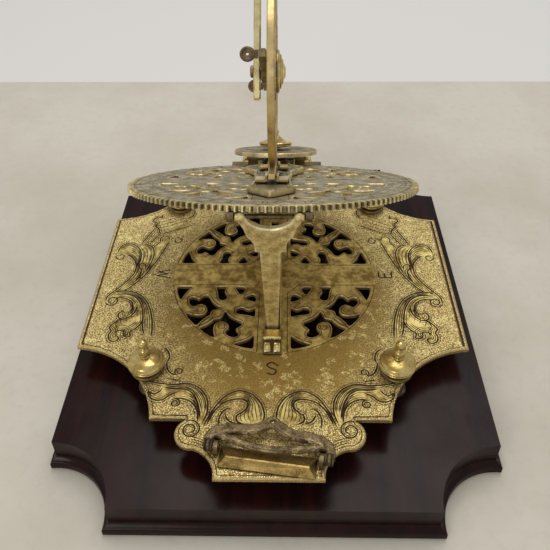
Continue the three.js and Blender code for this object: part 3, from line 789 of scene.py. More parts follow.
def mahogany_finish():
    """Dark polished mahogany: grain along the long way, pores, a thin clear polish, and painted shade in
    corners and under the brass.
    """
    f = Finish("mahogany")
    figure = f.noise(9, 4, 0.6, (1, 14, 1), 0.6)
    pores = f.noise(0.5, 3, 0.6, (1, 22, 1))
    wear = f.noise(30, 4, 0.6)
    colour = f.mix(f.span(figure, 0.35, 0.68), srgb(22, 9, 8), srgb(44, 17, 14))
    colour = f.mix(f.span(pores, 0.56, 0.7, 0.0, 0.6), colour, srgb(16, 8, 8))
    # painted shade where the occlusion mask finds corners and the brass above
    colour = f.mix(f.times(f.shelter(4.0), 0.7), colour, srgb(10, 6, 6))
    f.surface.inputs["Specular IOR Level"].default_value = 0.16
    roughness = f.span(wear, 0.35, 0.65, 0.16, 0.3)
    return f.finish(colour, roughness, (pores, -0.02), (f.noise(12, 2), 0.05))


def table_finish():
    """A pale, slightly stained table top, and the still paler ground beyond its far edge."""
    f = Finish("table")
    stains = f.noise(160, 5, 0.6)
    dust = f.noise(6, 4, 0.7)
    colour = f.mix(f.span(stains, 0.4, 0.62), srgb(214, 207, 192), srgb(200, 192, 176))
    colour = f.mix(f.span(dust, 0.5, 0.75, 0.0, 0.3), colour, srgb(184, 174, 158))
    axes = f.step("ShaderNodeSeparateXYZ", {0: f.place})
    beyond = f.span(axes.outputs["Y"], TABLE_END / MM, TABLE_END / MM + 2)
    colour = f.mix(beyond, colour, srgb(228, 225, 220))
    f.surface.inputs["Specular IOR Level"].default_value = 0.3
    return f.finish(colour, f.span(stains, 0.3, 0.7, 0.5, 0.65), (dust, 0.05))


TABLE_END = 0.3
ground_brass = plate_finish()
bright_brass = worn_metal(
    "bright_brass", ((180, 148, 78), (232, 208, 136), (252, 238, 180), (64, 44, 22)),
    (0.1, 0.24), 6, 0.8, 0.008
)
strut_brass = worn_metal(
    "pitted_brass", ((182, 156, 92), (250, 232, 168), (255, 242, 196), (74, 58, 34)),
    (0.3, 0.46), 4, 0.5, 0.05, metallic=0.62
)
tab_brass = worn_metal(
    "tab_brass", ((112, 88, 46), (172, 144, 84), (250, 226, 160), (62, 44, 24)),
    (0.24, 0.42), 6, 0.6, 0.03
)
ring_bronze = worn_metal(
    "mottled_ring_bronze", ((114, 102, 76), (202, 188, 150), (232, 212, 152), (44, 37, 29)),
    (0.3, 0.5), 5, 0.6, 0.03, spread=0.12
)
aged_bronze = worn_metal(
    "aged_bronze", ((112, 100, 72), (190, 175, 134), (234, 214, 160), (44, 37, 29)),
    (0.32, 0.5), 8, 0.5, 0.03
)
brown_bronze = worn_metal(
    "brown_bronze", ((82, 68, 48), (140, 120, 86), (166, 146, 108), (34, 27, 20)),
    (0.34, 0.52), 5, 0.6, 0.03
)
circle_brass = worn_metal(
    "circle_brass", ((110, 88, 54), (176, 150, 98), (216, 190, 132), (52, 40, 27)),
    (0.26, 0.44), 8, 0.5, 0.02
)
mahogany = mahogany_finish()


# ---------- engraved ornament, in the base plate's frame, for its right half ----------
def between(first, second, count, start=0.0, end=1.0):
    """Engraver's shading: lines that run along a leaf between two of its edges."""
    first, second = (resampled(smooth_curve(line), 24) for line in (first, second))
    keep = slice(int(start * 24), max(int(start * 24) + 4, int(end * 24)))
    shares = np.linspace(0, 1, count + 2)[1:-1]
    return [(first * (1 - share) + second * share)[keep] for share in shares]


def resampled(line, count):
    """The line as `count` points at even distances."""
    steps = np.concatenate(([0], np.linalg.norm(np.diff(line, axis=0), axis=1).cumsum()))
    at = np.linspace(0, steps[-1], count)
    return np.column_stack([np.interp(at, steps, line[:, k]) for k in (0, 1)])


# The scroll along the east edge: an S-shaped stem with a volute in the middle and leaves at both ends.
EAST_OUTER_STEM = [
    (92.3, -20.6), (92.1, -16.6), (90, -13), (86.6, -8.8), (82.9, -3), (80.6, 2.6), (80.4, 8), (82, 12.8),
    (85, 16.6), (88, 18),
]
EAST_INNER_STEM = [(86.8, -12.4), (83.2, -11.4), (78.4, -6), (73.6, 2), (69.6, 12), (66.4, 22), (64, 31)]
EAST_CROWN = [(79.6, 8), (78.8, 14), (79.6, 20), (82.4, 25), (87, 28), (91, 27.4), (93.2, 23.6), (93.6, 19.8)]
EAST_LEAF = [(80.6, 26.4), (77.5, 27.2), (74, 25.6), (72, 21), (71.7, 15), (72.8, 9), (74.4, 3.4)]
EAST_BUD = [(74.6, 5), (75, 8.8), (76.6, 10.6), (78.4, 10.2), (78.5, 7.6), (76.8, 4.6), (77, 0.6), (79, -4)]
EAST_TOP_LEAF = [(64, 31), (65.2, 34.4), (68, 35.2), (69.9, 33), (69.6, 30), (71.2, 27.6), (72.4, 25)]
EAST_DROP_OUTER = [
    (89.6, -13.6), (85, -11.9), (79, -12.4), (73.5, -15.4), (69, -21), (66, -28), (64, -36), (62.9, -45),
]
EAST_DROP_MIDDLE = [
    (88.6, -15), (84, -14.4), (79, -15.2), (74.6, -18.6), (71.6, -24), (69.8, -31), (68.8, -38), (67, -44),
]
EAST_CURL = [
    (88.4, -17.6), (85, -17.2), (80.6, -18.2), (77.5, -20.8), (76.4, -24.4), (77.6, -28), (79.6, -29),
]
EAST_CURL_LEAF = [
    (79.6, -29), (81.4, -27.4), (83.2, -29.2), (82.6, -32), (80, -33), (77.6, -31.8), (74.8, -28),
    (74.2, -22),
]
EAST_FRONDS = [
    [
        (78.8, -32.8), (82.4, -33.6), (84.6, -36), (86.2, -38.8), (84.8, -41.4), (85.6, -44), (84.5, -47.4),
        (81.6, -48.4), (79.9, -46.6), (81, -44.8), (82.3, -45.6),
    ],
    [
        (82.3, -43.8), (81.8, -41.4), (79.4, -40.9), (77.8, -41.4), (78.1, -43.6), (76, -45.4),
        (74.1, -44.6), (74.8, -41.8), (72.4, -39.6), (70, -36), (69.2, -31),
    ],
]
EAST_TOP_CURL = [(64, 31), (62.6, 33.2), (60.6, 33.6)]
EAST_STRAP = [[(70.6, 38), (73.4, 32.6), (76, 27.6)], [(74.6, 43), (78, 35), (81, 27.4)]]
# The big leaf behind the rear knob, folded over the strap.
EAST_FOLD = [
    (52, 46), (60, 42), (66, 39), (71, 38.2), (72.2, 42), (75, 44.6), (74.2, 47.6), (77, 50.4), (75, 53.6),
    (72, 53), (72.6, 57),
]

# The scrolls of the south edge: a leafy stem from the levelling screw to the volute, and a C-scroll between.
SOUTH_STEM_TOP = [
    (70, -67.6), (63, -72), (54, -74.4), (47, -74.9), (41.6, -74.3), (36.8, -75.6), (33, -78.6),
    (30.3, -83), (29.4, -88), (29.9, -92.6), (31.4, -96.6),
]
SOUTH_STEM_LOW = [(52, -76.6), (47, -77.6), (42, -77.6), (38, -79.6), (35, -84), (33.4, -89), (32.4, -94)]
SOUTH_STEM_IN = [(47, -83.6), (43, -82.9), (38.6, -84.3), (35.6, -87.2), (34, -91), (33.4, -96)]
SOUTH_LEAF = [
    (52.2, -76.8), (53.6, -79.4), (56, -80.6), (58.8, -79.2), (58.2, -82), (55, -84), (51.4, -83.8),
    (48, -81), (44, -79),
]
SOUTH_TWIG = [(53, -61), (51.2, -66.4), (48.6, -68.9), (46, -69.4)]
SOUTH_TWIG_LEAF = [(52, -71.6), (48.6, -71.9), (45.4, -72.4), (44.2, -70.6)]
SOUTH_SCROLL_OUT = [
    (30.6, -98), (28.8, -93.6), (26.4, -88.4), (23, -83), (19, -79.7), (15, -78.4), (10.6, -79.5),
    (6.6, -82.6), (3.9, -87), (2.8, -92), (3.6, -96),
]
SOUTH_SCROLL_IN = [
    (29.2, -97.4), (27, -91.2), (23.6, -86.6), (20.6, -84.3), (17, -83.2), (13.5, -83.2), (11, -85),
    (11.2, -88.2), (13.4, -90.6), (15.6, -92.4), (15.1, -95.4), (11.6, -97),
]
SOUTH_SPRIG = [
    [(23.2, -99), (23.7, -94.4), (22.4, -90.4), (20, -88.3), (18.4, -88.9)],
    [(20.8, -90.4), (20.6, -93), (18.6, -95.4), (15, -96.6)],
]
COLLAR_LEAF = [(52.6, -62.4), (51.6, -58.4), (53, -54.4), (56.4, -52)]


def beside(line, gap):
    """The line moved sideways, to its left, by the gap."""
    along = np.gradient(line, axis=0)
    along /= np.maximum(np.linalg.norm(along, axis=1, keepdims=True), 1e-9)
    return line + gap * np.column_stack((-along[:, 1], along[:, 0]))


def leaf_outlines():
    """Outlines of the leaves and scrolls of the plate's right half, whose insides are smooth."""
    crown = EAST_CROWN + EAST_OUTER_STEM[:5:-1]
    stem = EAST_OUTER_STEM[:7] + EAST_BUD[3::-1] + EAST_INNER_STEM[3::-1]
    leaf = EAST_LEAF + EAST_BUD[1:4] + EAST_CROWN[:4]
    strip = EAST_INNER_STEM[2:] + EAST_TOP_LEAF[1:] + EAST_LEAF[3:]
    fronds = EAST_FRONDS[1][::-1] + EAST_FRONDS[0][::-1]
    drop = EAST_DROP_OUTER + fronds + EAST_CURL_LEAF[3::-1] + EAST_CURL[::-1]
    south = SOUTH_STEM_TOP[1:] + SOUTH_STEM_IN[::-1] + SOUTH_LEAF[::-1]
    scroll = SOUTH_SCROLL_OUT + SOUTH_SCROLL_IN[::-1]
    return [smooth_curve(line, 0.8) for line in (crown, stem, leaf, strip, drop, south, scroll)]


# Pairs of lines with shading between them: the number of lines, and where along the pair they start and end.
SHADED = [
    (EAST_OUTER_STEM[2:], EAST_INNER_STEM[1:5], 3, 0.05, 0.75),
    (EAST_CROWN, EAST_OUTER_STEM[5:], 6, 0.1, 0.95),
    (EAST_LEAF, EAST_CROWN[:4][::-1], 3, 0.1, 0.8),
    (EAST_DROP_OUTER, EAST_DROP_MIDDLE, 3, 0.1, 0.95),
    (EAST_DROP_MIDDLE[:6], EAST_CURL_LEAF[::-1], 5, 0.1, 0.95),
    (EAST_DROP_MIDDLE[3:6], EAST_FRONDS[0][:6], 5, 0.15, 0.9),
    (EAST_STRAP[0], EAST_STRAP[1], 3),
    (SOUTH_STEM_TOP[2:], SOUTH_STEM_LOW, 4, 0.05, 0.85),
    (SOUTH_STEM_LOW, SOUTH_STEM_IN, 3, 0.35, 0.98),
    (SOUTH_SCROLL_OUT, SOUTH_SCROLL_IN, 6, 0.5, 0.98),
    (SOUTH_LEAF[2:5], SOUTH_LEAF[5:8], 2),
]
# Volutes as (x, y, radius, starting angle, turns) and, for some, how far they tighten.
VOLUTES = [
    (88.7, -19.6, 3.7, -15, -1.55),
    (91, 16.6, 3.0, 20, -1.05),
    (58.9, 31.2, 2.5, 60, 1.0, 0.7),
    (45.2, -85.6, 2.5, 60, 1.5),
    (45.6, -67.2, 2.3, -80, 1.4),
    (36.4, -99.7, 4.9, 60, 1.6, 0.3),
]
# The engraver's cuts, each as (width, depth, length of the taper).
BOLD_CUT, VOLUTE_CUT, SHADING_CUT = (0.95, 0.3, 2.5), (0.8, 0.3, 1.5), (0.48, 0.2, 2.0)
FINE_CUT, FINE_VOLUTE_CUT = (0.42, 0.18, 3), (0.42, 0.18, 2)


def right_half_ornament():
    """Engraved lines of the plate's right half: bold outlines and the finer shading between them."""
    bold = [EAST_OUTER_STEM, EAST_INNER_STEM, EAST_CROWN, EAST_LEAF, EAST_BUD, EAST_TOP_LEAF, EAST_DROP_OUTER]
    bold += [EAST_DROP_MIDDLE, EAST_CURL, EAST_CURL_LEAF, *EAST_FRONDS, EAST_TOP_CURL, *EAST_STRAP, EAST_FOLD]
    bold += [SOUTH_STEM_TOP, SOUTH_STEM_LOW, SOUTH_STEM_IN, SOUTH_LEAF, SOUTH_TWIG, SOUTH_TWIG_LEAF]
    bold += [SOUTH_SCROLL_OUT, SOUTH_SCROLL_IN, *SOUTH_SPRIG, COLLAR_LEAF]
    curves = [smooth_curve(line) for line in bold]
    lines = [groove(curve, *BOLD_CUT) for curve in curves]
    lines += [groove(beside(curve, gap)[2:-2], *FINE_CUT) for curve in curves for gap in (1.25, -1.15)]
    volutes = [spiral(*volute) for volute in VOLUTES]
    lines += [groove(line, *VOLUTE_CUT) for line in volutes]
    lines += [groove(beside(line, 0.9)[3:-3], *FINE_VOLUTE_CUT) for line in volutes[3:]]
    shading = [line for row in SHADED for line in between(*row)]
    shading += [beside(smooth_curve(frond), gap)[4:-6] for frond in EAST_FRONDS for gap in (-2.3, -3.5)]
    shading += [arc(THROAT_X, THROAT_Y, radius, 96, 152, 14) for radius in (16.9, 18.1, 19.3)]
    fold = np.array(EAST_FOLD[:5])
    shading += [smooth_curve(fold + (1.2 * k, 2.6 * k)) for k in range(1, 5)]
    return lines + [groove(line, *SHADING_CUT) for line in shading]


# ---------- engraved letters and numerals ----------
# Each stroke is drawn in a box one wide and one and a half high.
LETTERS = {
    "N": [[(0, 0), (0, 1.5)], [(0, 1.5), (1, 0)], [(1, 0), (1, 1.5)]],
    "W": [[(-0.15, 1.5), (0.2, 0)], [(0.2, 0), (0.5, 1.3)], [(0.5, 1.3), (0.8, 0)], [(0.8, 0), (1.15, 1.5)]],
    "S": [
        [
            (0.95, 1.25), (0.6, 1.5), (0.2, 1.4), (0.05, 1.1), (0.4, 0.8), (0.85, 0.6), (0.95, 0.3),
            (0.6, 0), (0.05, 0.2),
        ]
    ],
    "E": [[(0, 0), (0, 1.5)], [(0, 1.5), (0.9, 1.5)], [(0, 0.78), (0.7, 0.78)], [(0, 0), (0.95, 0)]],
    "I": [[(0.5, 0), (0.5, 1.5)]],
    "V": [[(0.05, 1.5), (0.5, 0)], [(0.5, 0), (0.95, 1.5)]],
    "X": [[(0.05, 1.5), (0.95, 0)], [(0.05, 0), (0.95, 1.5)]],
    "0": [[(0.5, 0), (0.12, 0.35), (0.1, 1.1), (0.5, 1.5), (0.9, 1.1), (0.88, 0.35), (0.5, 0)]],
    "1": [[(0.3, 1.25), (0.55, 1.5)], [(0.55, 1.5), (0.55, 0)]],
    "2": [[(0.1, 1.2), (0.4, 1.5), (0.85, 1.3), (0.8, 0.9), (0.1, 0)], [(0.1, 0), (0.95, 0)]],
    "3": [
        [(0.1, 1.35), (0.55, 1.5), (0.85, 1.2), (0.45, 0.82)],
        [(0.45, 0.82), (0.9, 0.5), (0.6, 0), (0.1, 0.15)],
    ],
    "4": [[(0.7, 0), (0.7, 1.5)], [(0.7, 1.5), (0.05, 0.45)], [(0.05, 0.45), (1, 0.45)]],
    "5": [
        [(0.85, 1.5), (0.2, 1.5)], [(0.2, 1.5), (0.15, 0.85)],
        [(0.15, 0.85), (0.7, 0.9), (0.9, 0.45), (0.5, 0), (0.1, 0.15)],
    ],
    "6": [[(0.8, 1.45), (0.3, 1.1), (0.1, 0.5), (0.5, 0), (0.88, 0.4), (0.55, 0.82), (0.15, 0.55)]],
    "7": [[(0.1, 1.5), (0.9, 1.5)], [(0.9, 1.5), (0.4, 0)]],
    "8": [
        [
            (0.5, 0.82), (0.15, 1.15), (0.5, 1.5), (0.85, 1.15), (0.5, 0.82), (0.1, 0.4), (0.5, 0),
            (0.9, 0.4), (0.5, 0.82),
        ]
    ],
    "9": [[(0.85, 0.95), (0.45, 0.7), (0.12, 1.1), (0.5, 1.5), (0.88, 1.1), (0.7, 0.4), (0.3, 0)]],
}


def engraved_text(text, x, y, height, turn=0.0, width=0.36, depth=0.16, pitch=1.25):
    """Grooves for a short word centred on a point; `turn` is in degrees."""
    unit = height / 1.5
    c, s = math.cos(math.radians(turn)), math.sin(math.radians(turn))
    lines = []
    pitches = [0.62 if letter == "I" else pitch for letter in text]
    left = -sum(pitches) / 2
    for letter, advance in zip(text, pitches):
        for stroke in LETTERS[letter]:
            p = (np.array(stroke) + (left + advance / 2 - 0.5, -0.75)) * unit
            p = np.column_stack((x + p[:, 0] * c - p[:, 1] * s, y + p[:, 0] * s + p[:, 1] * c))
            line = smooth_curve(p, 0.5) if len(p) > 2 else resampled(p, 9)
            lines.append(groove(line, width, depth, 0.3, (0.6, 0.6)))
        left += advance
    return lines


def tick(radius_in, radius_out, angle, width=0.3, depth=0.14, cx=0.0, cy=0.0):
    """A radial mark; the angle is in degrees from +X."""
    a = np.array([math.cos(math.radians(angle)), math.sin(math.radians(angle))])
    ends = np.array([(cx, cy) + a * radius_in, (cx, cy) + a * radius_out])
    return groove(ends, width, depth, 0.2, (0.7, 0.7))


def ring_groove(radius, width=0.4, depth=0.16, cx=0.0, cy=0.0):
    """A full circle, engraved."""
    return groove(arc(cx, cy, radius, 0, 360, max(48, int(radius * 3))), width, depth)


# ---------- base plate ----------
PLATE_THICK = 2.2
PLATE_HALF_X = (plate_high.x - plate_low.x) / 2 / MM
PLATE_TAB_Y = (plate_high.y - plate_low.y) / 2 / MM
PLATE_BEVEL = 0.7
PROP_SLOT = [(3.7, -42), (3.7, 29), (2.2, 29.6), (2.2, 50)]
SCREW_X, SCREW_Y, SCREW_BORE = 61.5, 65.6, 2.9
COMPASS_LETTERS = [("E", 63.5, 2, 90), ("W", -63.5, 2, -90), ("S", 0, -65, 0), ("N", 0, 68, 180)]
COMPASS_HEIGHT = 7.4
BORDER_LINE = 1.8
# The arcs and the step of the outline, in the quarter where x > 0 and y < 0.
BAY_X, BAY_Y, BAY_RADIUS = 104, -100, 48.2
STEP_Y = -94.1
VOLUTE_X, VOLUTE_Y, VOLUTE_RADIUS = 35.6, -101.4, 7.8
THROAT_X, THROAT_Y, THROAT_RADIUS, THROAT_FLARE = 38.1, -122.6, 13.9, 1.1


def plate_quarter(grow):
    """The plate's plan where x > 0 and y < 0, from its east side round to the south tab, grown outwards."""
    x = PLATE_HALF_X + grow
    bay = BAY_RADIUS - grow
    bay_start = math.degrees(math.acos((x - BAY_X) / bay))
    bay_end = 180 - math.degrees(math.asin((STEP_Y - BAY_Y - grow) / bay))
    side = arc(BAY_X, BAY_Y, bay, bay_start, bay_end, 22)
    volute = arc(VOLUTE_X, VOLUTE_Y, VOLUTE_RADIUS + grow, 62, -84, 18)
    throat_end = 180 + math.degrees(math.asin(THROAT_FLARE / THROAT_RADIUS))
    throat = arc(THROAT_X, THROAT_Y, THROAT_RADIUS - grow, 97, throat_end, 12)
    step = [(volute[0, 0], STEP_Y - grow)]
    foot = [(throat[-1, 0], -PLATE_TAB_Y - grow)]
    return np.vstack((side, step, volute, throat[1:-1], foot))


def plate_outline(grow):
    """The whole plan of the plate: its quarter mirrored across both middle lines."""
    quarter = plate_quarter(grow)
    front = np.vstack((quarter, mirrored(quarter)[::-1]))
    return np.vstack((front, (front * (1, -1))[::-1]))


def base_plate():
    """The pierced plate: its fret, slot and bores, leaf engraving, borders and compass letters."""
    pierced = fret(FRET_RADIUS, PLATE_FRET_Y)
    half_slot = np.array(PROP_SLOT)
    slot_loop = np.vstack((half_slot, mirrored(half_slot)[::-1]))
    bores = [hole(sx * SCREW_X, sy * SCREW_Y, SCREW_BORE) for sx in (1, -1) for sy in (1, -1)]
    half = right_half_ornament()
    grooves = half + [{**line, "points": mirrored(line["points"])} for line in half]
    south = [line for line in grooves if line["points"][:, 1].max() < -50]
    grooves += [{**line, "points": line["points"] * (1, -1)} for line in south]
    grooves += [groove(closed(plate_outline(-BORDER_LINE)), 0.48, 0.17)]
    grooves += [groove(line, 0.5, 0.26, 1.5) for line in pierced["inner"]]
    grooves += [groove(line, 0.5, 0.22) for line in pierced["border"]]
    for letter, x, y, turn in COMPASS_LETTERS:
        grooves += engraved_text(letter, x, y, COMPASS_HEIGHT, turn, 1.0, 0.32)
    loops = [plate_outline(0), *pierced["loops"], slot_loop, *bores]
    terraces = [([closed(plate_outline(-PLATE_BEVEL))], 0.0), (pierced["eased"], 0.0)]
    leaves = leaf_outlines()
    leaves += [mirrored(line) for line in leaves]
    slab = engraved_slab(loops, PLATE_THICK, grooves, terraces, edge=0.5, leaves=leaves, spacing=2.2)
    return slab_piece("engraved_base_plate", PLATE, slab, "base", ground_brass, ["base_plate"])


# ---------- plinth ----------
ROW = Matrix.Scale(MM, 4)
PLINTH_HALF_X, PLINTH_HALF_Y, PLINTH_NOTCH = 105.4, 128.5, 32
MOULDING_PROFILE = run(
    [(2.2, 0), (2.8, 0.6)],
    [(2.8, 4), (2.5, 4.6), (1.9, 5)],
    [(1.5, 5.2), (0.4, 6.2), (-0.5, 7.4), (-1.1, 8.8), (-1.4, 10.4)],
    steps=4,
)
SLAB_PROFILE = run(
    [(-1.5, 10.6), (-1.2, 11.2), (-0.6, 11.8), (0, 12.6)],
    [(0, 15.8), (-0.12, 16.9), (-0.5, 17.6), (-1.1, 18)],
    steps=4,
)


def plinth_outline(grow):
    """Straight sides with a quarter circle taken out of each corner, grown outwards."""
    r = PLINTH_NOTCH - grow
    overrun = math.degrees(math.asin(grow / r))
    quarter = arc(PLINTH_HALF_X, -PLINTH_HALF_Y, r, 90 - overrun, 180 + overrun, 36)
    front = np.vstack((mirrored(quarter), quarter[::-1]))
    return np.vstack((front, (front * (1, -1))[::-1]))


def stacked_mesh(levels):
    """Points and faces through outlines of equal point count at rising heights, closed at both ends."""
    points = [(x, y, z) for outline, z in levels for x, y in outline]
    n = len(levels[0][0])
    faces = [tuple(range(n))[::-1], tuple(range(len(points) - n, len(points)))]
    for k in range(len(levels) - 1):
        for i in range(n):
            low, high = k * n + i, k * n + (i + 1) % n
            faces.append((low, high, high + n, low + n))
    return points, faces


def plinth():
    """The flared moulding and the lipped board above it."""
    for name, node, profile in (
        ("mahogany_moulding", "plinth_moulding", MOULDING_PROFILE),
        ("mahogany_slab", "plinth_slab", SLAB_PROFILE),
    ):
        points, faces = stacked_mesh([(plinth_outline(grow), z) for grow, z in profile])
        make_piece(name, ROW, points, faces, "base", mahogany, [node], 24)


# ---------- levelling screws ----------
HEAD_PROFILE = run(
    [(0, -11.7), (2.4, -10.4)],
    [(2.4, 1.9), (6, 1.9)],
    [(6, 1.9), (5.7, 3), (6, 4.2)],
    [(8.4, 4.3), (9.0, 4.8), (8.5, 5.3)],
    [(8.3, 5.4), (9.0, 6.0), (8.6, 6.7)],
    [(8.2, 6.9), (7.6, 7.7), (6.2, 8.5), (4.2, 9.2), (2.4, 9.7)],
    [(2.0, 9.8), (2.6, 10.2), (1.8, 10.7)],
    [(1.5, 10.9), (2.4, 11.7), (2.8, 13), (2.4, 14.4), (1.4, 15.3)],
    [(1.2, 15.5), (1.8, 15.8), (1.3, 16.2)],
    [(1.4, 16.3), (2.3, 17.4), (2.3, 18.8), (1.6, 20.2), (0, 20.8)],
)
COLLAR_PROFILE = run([(2.9, 0.02), (8, 0.02)], [(8, 0.8), (7.8, 1.2), (7.1, 1.5)], [(2.9, 1.5), (2.9, 0.02)])
CUP_PROFILE = run([(0, -14), (6, -14)], [(6, -13.2), (5.4, -12.4), (4.4, -12)], [(3.2, -12), (0, -12.3)])


def levelling_screws():
    """Each levelling screw with the collar on the plate and the cup that its point stands in."""
    for place in ("front_left", "front_right", "rear_left", "rear_right"):
        low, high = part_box("level_screw_" + place)
        middle = Vector(((low.x + high.x) / 2, (low.y + high.y) / 2, plate_high.z))
        upright = Matrix.Translation(middle) @ Matrix.Scale(MM, 4)
        for name, node, profile, body, material, slot in (
            ("levelling_knob_", "level_screw_", HEAD_PROFILE, "screw_" + place, bright_brass, "brass_bright"),
            ("knob_seat_", "screw_collar_", COLLAR_PROFILE, "base", circle_brass, "brass_plate"),
            ("foot_cup_", "screw_cup_", CUP_PROFILE, "base", brown_bronze, "brass_brown"),
        ):
            turned_piece(name + place, upright, profile, body, material, slot, [node + place])


# ---------- hour ring ----------
RING_RADIUS, RING_TEETH, RING_THICK = 76, 144, 2.9
RING_FRET_RADIUS = 60
RING_LINES = [(72.5, 0.45), (71.7, 0.3), (69.6, 0.3), (63.6, 0.3), (62.7, 0.45)]
NUMERAL_RADIUS, NUMERAL_HEIGHT, TICK_RADIUS = 66.7, 4.8, 72.5
HUB_LINES = (5.2, 7.0)
STUD_BORE, ARBOR_BORE, PIVOT_BORE = 3.4, 2, 2.6
RING_ROOT = RING_RADIUS - 2.25 * 2 * RING_RADIUS / (RING_TEETH + 2)
HOURS = ("I", "II", "III", "IV", "V", "VI", "VII", "VIII", "IX", "X", "XI", "XII")


def toothed_outline():
    """The ring's edge; each tooth is drawn from half of its shape as (radius, share of half a pitch)."""
    points = []
    for tooth in range(RING_TEETH):
        middle = (tooth + 0.5) / RING_TEETH * 2 * math.pi
        half = math.pi / RING_TEETH
        shape = ((RING_ROOT, -0.56), (RING_RADIUS - 0.5, -0.36), (RING_RADIUS, -0.2))
        for r, share in shape + tuple((r, -share) for r, share in shape[::-1]):
            angle = middle + share * half
            points.append((r * math.cos(angle), r * math.sin(angle)))
    return np.array(points)


def hour_ring():
    """The toothed ring, divided to five minutes of time, round a pierced middle."""
    pierced = fret(RING_FRET_RADIUS)
    grooves = [ring_groove(radius, width) for radius, width in RING_LINES]
    for hour in range(24):
        angle = 90 - 15 * (hour + 1)
        x, y = arc(0, 0, NUMERAL_RADIUS, angle, angle, 0)[0]
        grooves += engraved_text(HOURS[hour % 12], x, y, NUMERAL_HEIGHT, angle - 90, 0.7, 0.24)
        for part in range(12):
            long = 1.9 if part % 3 else 2.2 + 1.4 * (part % 6 == 0)
            grooves.append(tick(TICK_RADIUS - long, TICK_RADIUS - 0.3, angle + part * 1.25, 0.42, 0.18))
    grooves += [groove(line, 0.38, 0.18, 1.5) for line in pierced["inner"] + pierced["border"]]
    grooves += [ring_groove(radius, 0.35) for radius in HUB_LINES]
    loops = [toothed_outline(), *pierced["loops"], hole(0, 0, STUD_BORE, 40)]
    slab = engraved_slab(loops, RING_THICK, grooves, [(pierced["eased"], 0.0)], edge=0.4, spacing=2.6)
    slab_piece("engraved_hour_ring", RING, slab, "ring", ring_bronze, ["hour_ring"])


# ---------- carriage ----------
PINION_Y = 78.4
CARRIAGE_RIGHT = [
    (0, -57), (11.6, -41.4), (11.4, -38.6), (9.8, -37), (9.4, -24), (9, -10), (9.2, -2), (10.4, 4), (9.6, 10),
    (10.6, 17), (13.8, 24), (16.8, 30.6), (17, 36), (14.6, 41), (9.4, 47), (8.4, 60), (7.6, 70),
]
CARRIAGE_TOP, CARRIAGE_THICK, CARRIAGE_GROUND = 3.4, 3.0, -0.7
# Leaf veins on both sides of the middle line, as (start, reach, lift), and curls, as (x, y, turns).
CARRIAGE_VEINS = [
    (-50, 3, 6), (-44, 7, 6), (-33, 6, 7), (-24, 6, 7), (-15, 6, 7), (-7, 6, 7), (12, 7, 6), (20, 9, 7),
    (27, 12, 7), (33, 13, 6), (48, 5, 7), (56, 5, 7),
]
CARRIAGE_CURLS = [(11.6, 36, 1.4), (7.0, -42.5, 1.3), (6.2, 4, 1.2)]


def carriage():
    """The strapwork arm, its ground sunk inside a rim."""
    right = np.array(CARRIAGE_RIGHT)
    head = arc(0, PINION_Y, 7.6, 0, 180, 36)
    outline = rounded(np.vstack((right, head, mirrored(right[1:])[::-1])), 1.4)
    bores = [hole(0, 0, STUD_BORE), hole(0, PINION_Y, ARBOR_BORE, 24)]
    rim, foot, line = inset(outline, 1.1, 1.5, 2.6)
    veins = []
    for y, reach, lift in CARRIAGE_VEINS:
        side = smooth_curve([(0.4, y), (reach * 0.5, y + lift * 0.25), (reach, y + lift)])
        veins += [groove(side, 0.5, 0.2, 2), groove(mirrored(side), 0.5, 0.2, 2)]
    for x, y, turns in CARRIAGE_CURLS:
        curl = spiral(x, y, 3.2, 200, turns)
        veins += [groove(curl, 0.5, 0.22, 2), groove(mirrored(curl), 0.5, 0.22, 2)]
    veins += [groove(loop, 0.35, 0.15) for loop in line]
    terraces = [(rim, 0.0), (foot, CARRIAGE_GROUND)]
    slab = engraved_slab(
        [outline, *bores], CARRIAGE_THICK, veins, terraces, 0.35, CARRIAGE_GROUND, sunk=foot, spacing=1.6
    )
    place = RING @ Matrix.Translation((0, 0, CARRIAGE_TOP))
    slab_piece("strapwork_carriage", place, slab, "carriage", aged_bronze, ["carriage_plate"])


# ---------- upright declination circle ----------
CIRCLE_PIVOT, CIRCLE_RADIUS, CIRCLE_THICK = 57, 50, 3.6
STAND = [(34, 5.2), (34, 7.8), (29, 8.6), (24, 9.4), (18, 10.6), (13, 12.6), (9, 16.4)]
CIRCLE_LINES = [(49, 0.4), (46.6, 0.3), (43, 0.4), (12.6, 0.4), (11.9, 0.3)]
CIRCLE_FOOT_Z, SPOKE_HALF, BOSS_RADIUS = 5.2, 4.2, 14
SPOKE_LINE_X, SPOKE_LINE_START, SPOKE_LINE_END = 3, 16, 40


def circle_metal(field):
    """The wheel with four spokes, a boss and the foot that widens under it."""
    stand = np.array(STAND)
    inner = field.circle(0, CIRCLE_PIVOT, CIRCLE_RADIUS - 3)
    wheel = abs(field.circle(0, CIRCLE_PIVOT, CIRCLE_RADIUS - 4.25)) - 4.25
    upright, level = abs(field.x) - SPOKE_HALF, abs(field.y - CIRCLE_PIVOT) - SPOKE_HALF
    arms = np.minimum(np.maximum(upright, inner), np.maximum(level, inner))
    metal = smooth_min(smooth_min(wheel, arms, 2.2), field.circle(0, CIRCLE_PIVOT, BOSS_RADIUS), 2.5)
    foot = field.polygon(np.vstack((stand, mirrored(stand)[::-1])))
    return np.maximum(smooth_min(metal, foot, 1.5), CIRCLE_FOOT_Z - field.y)


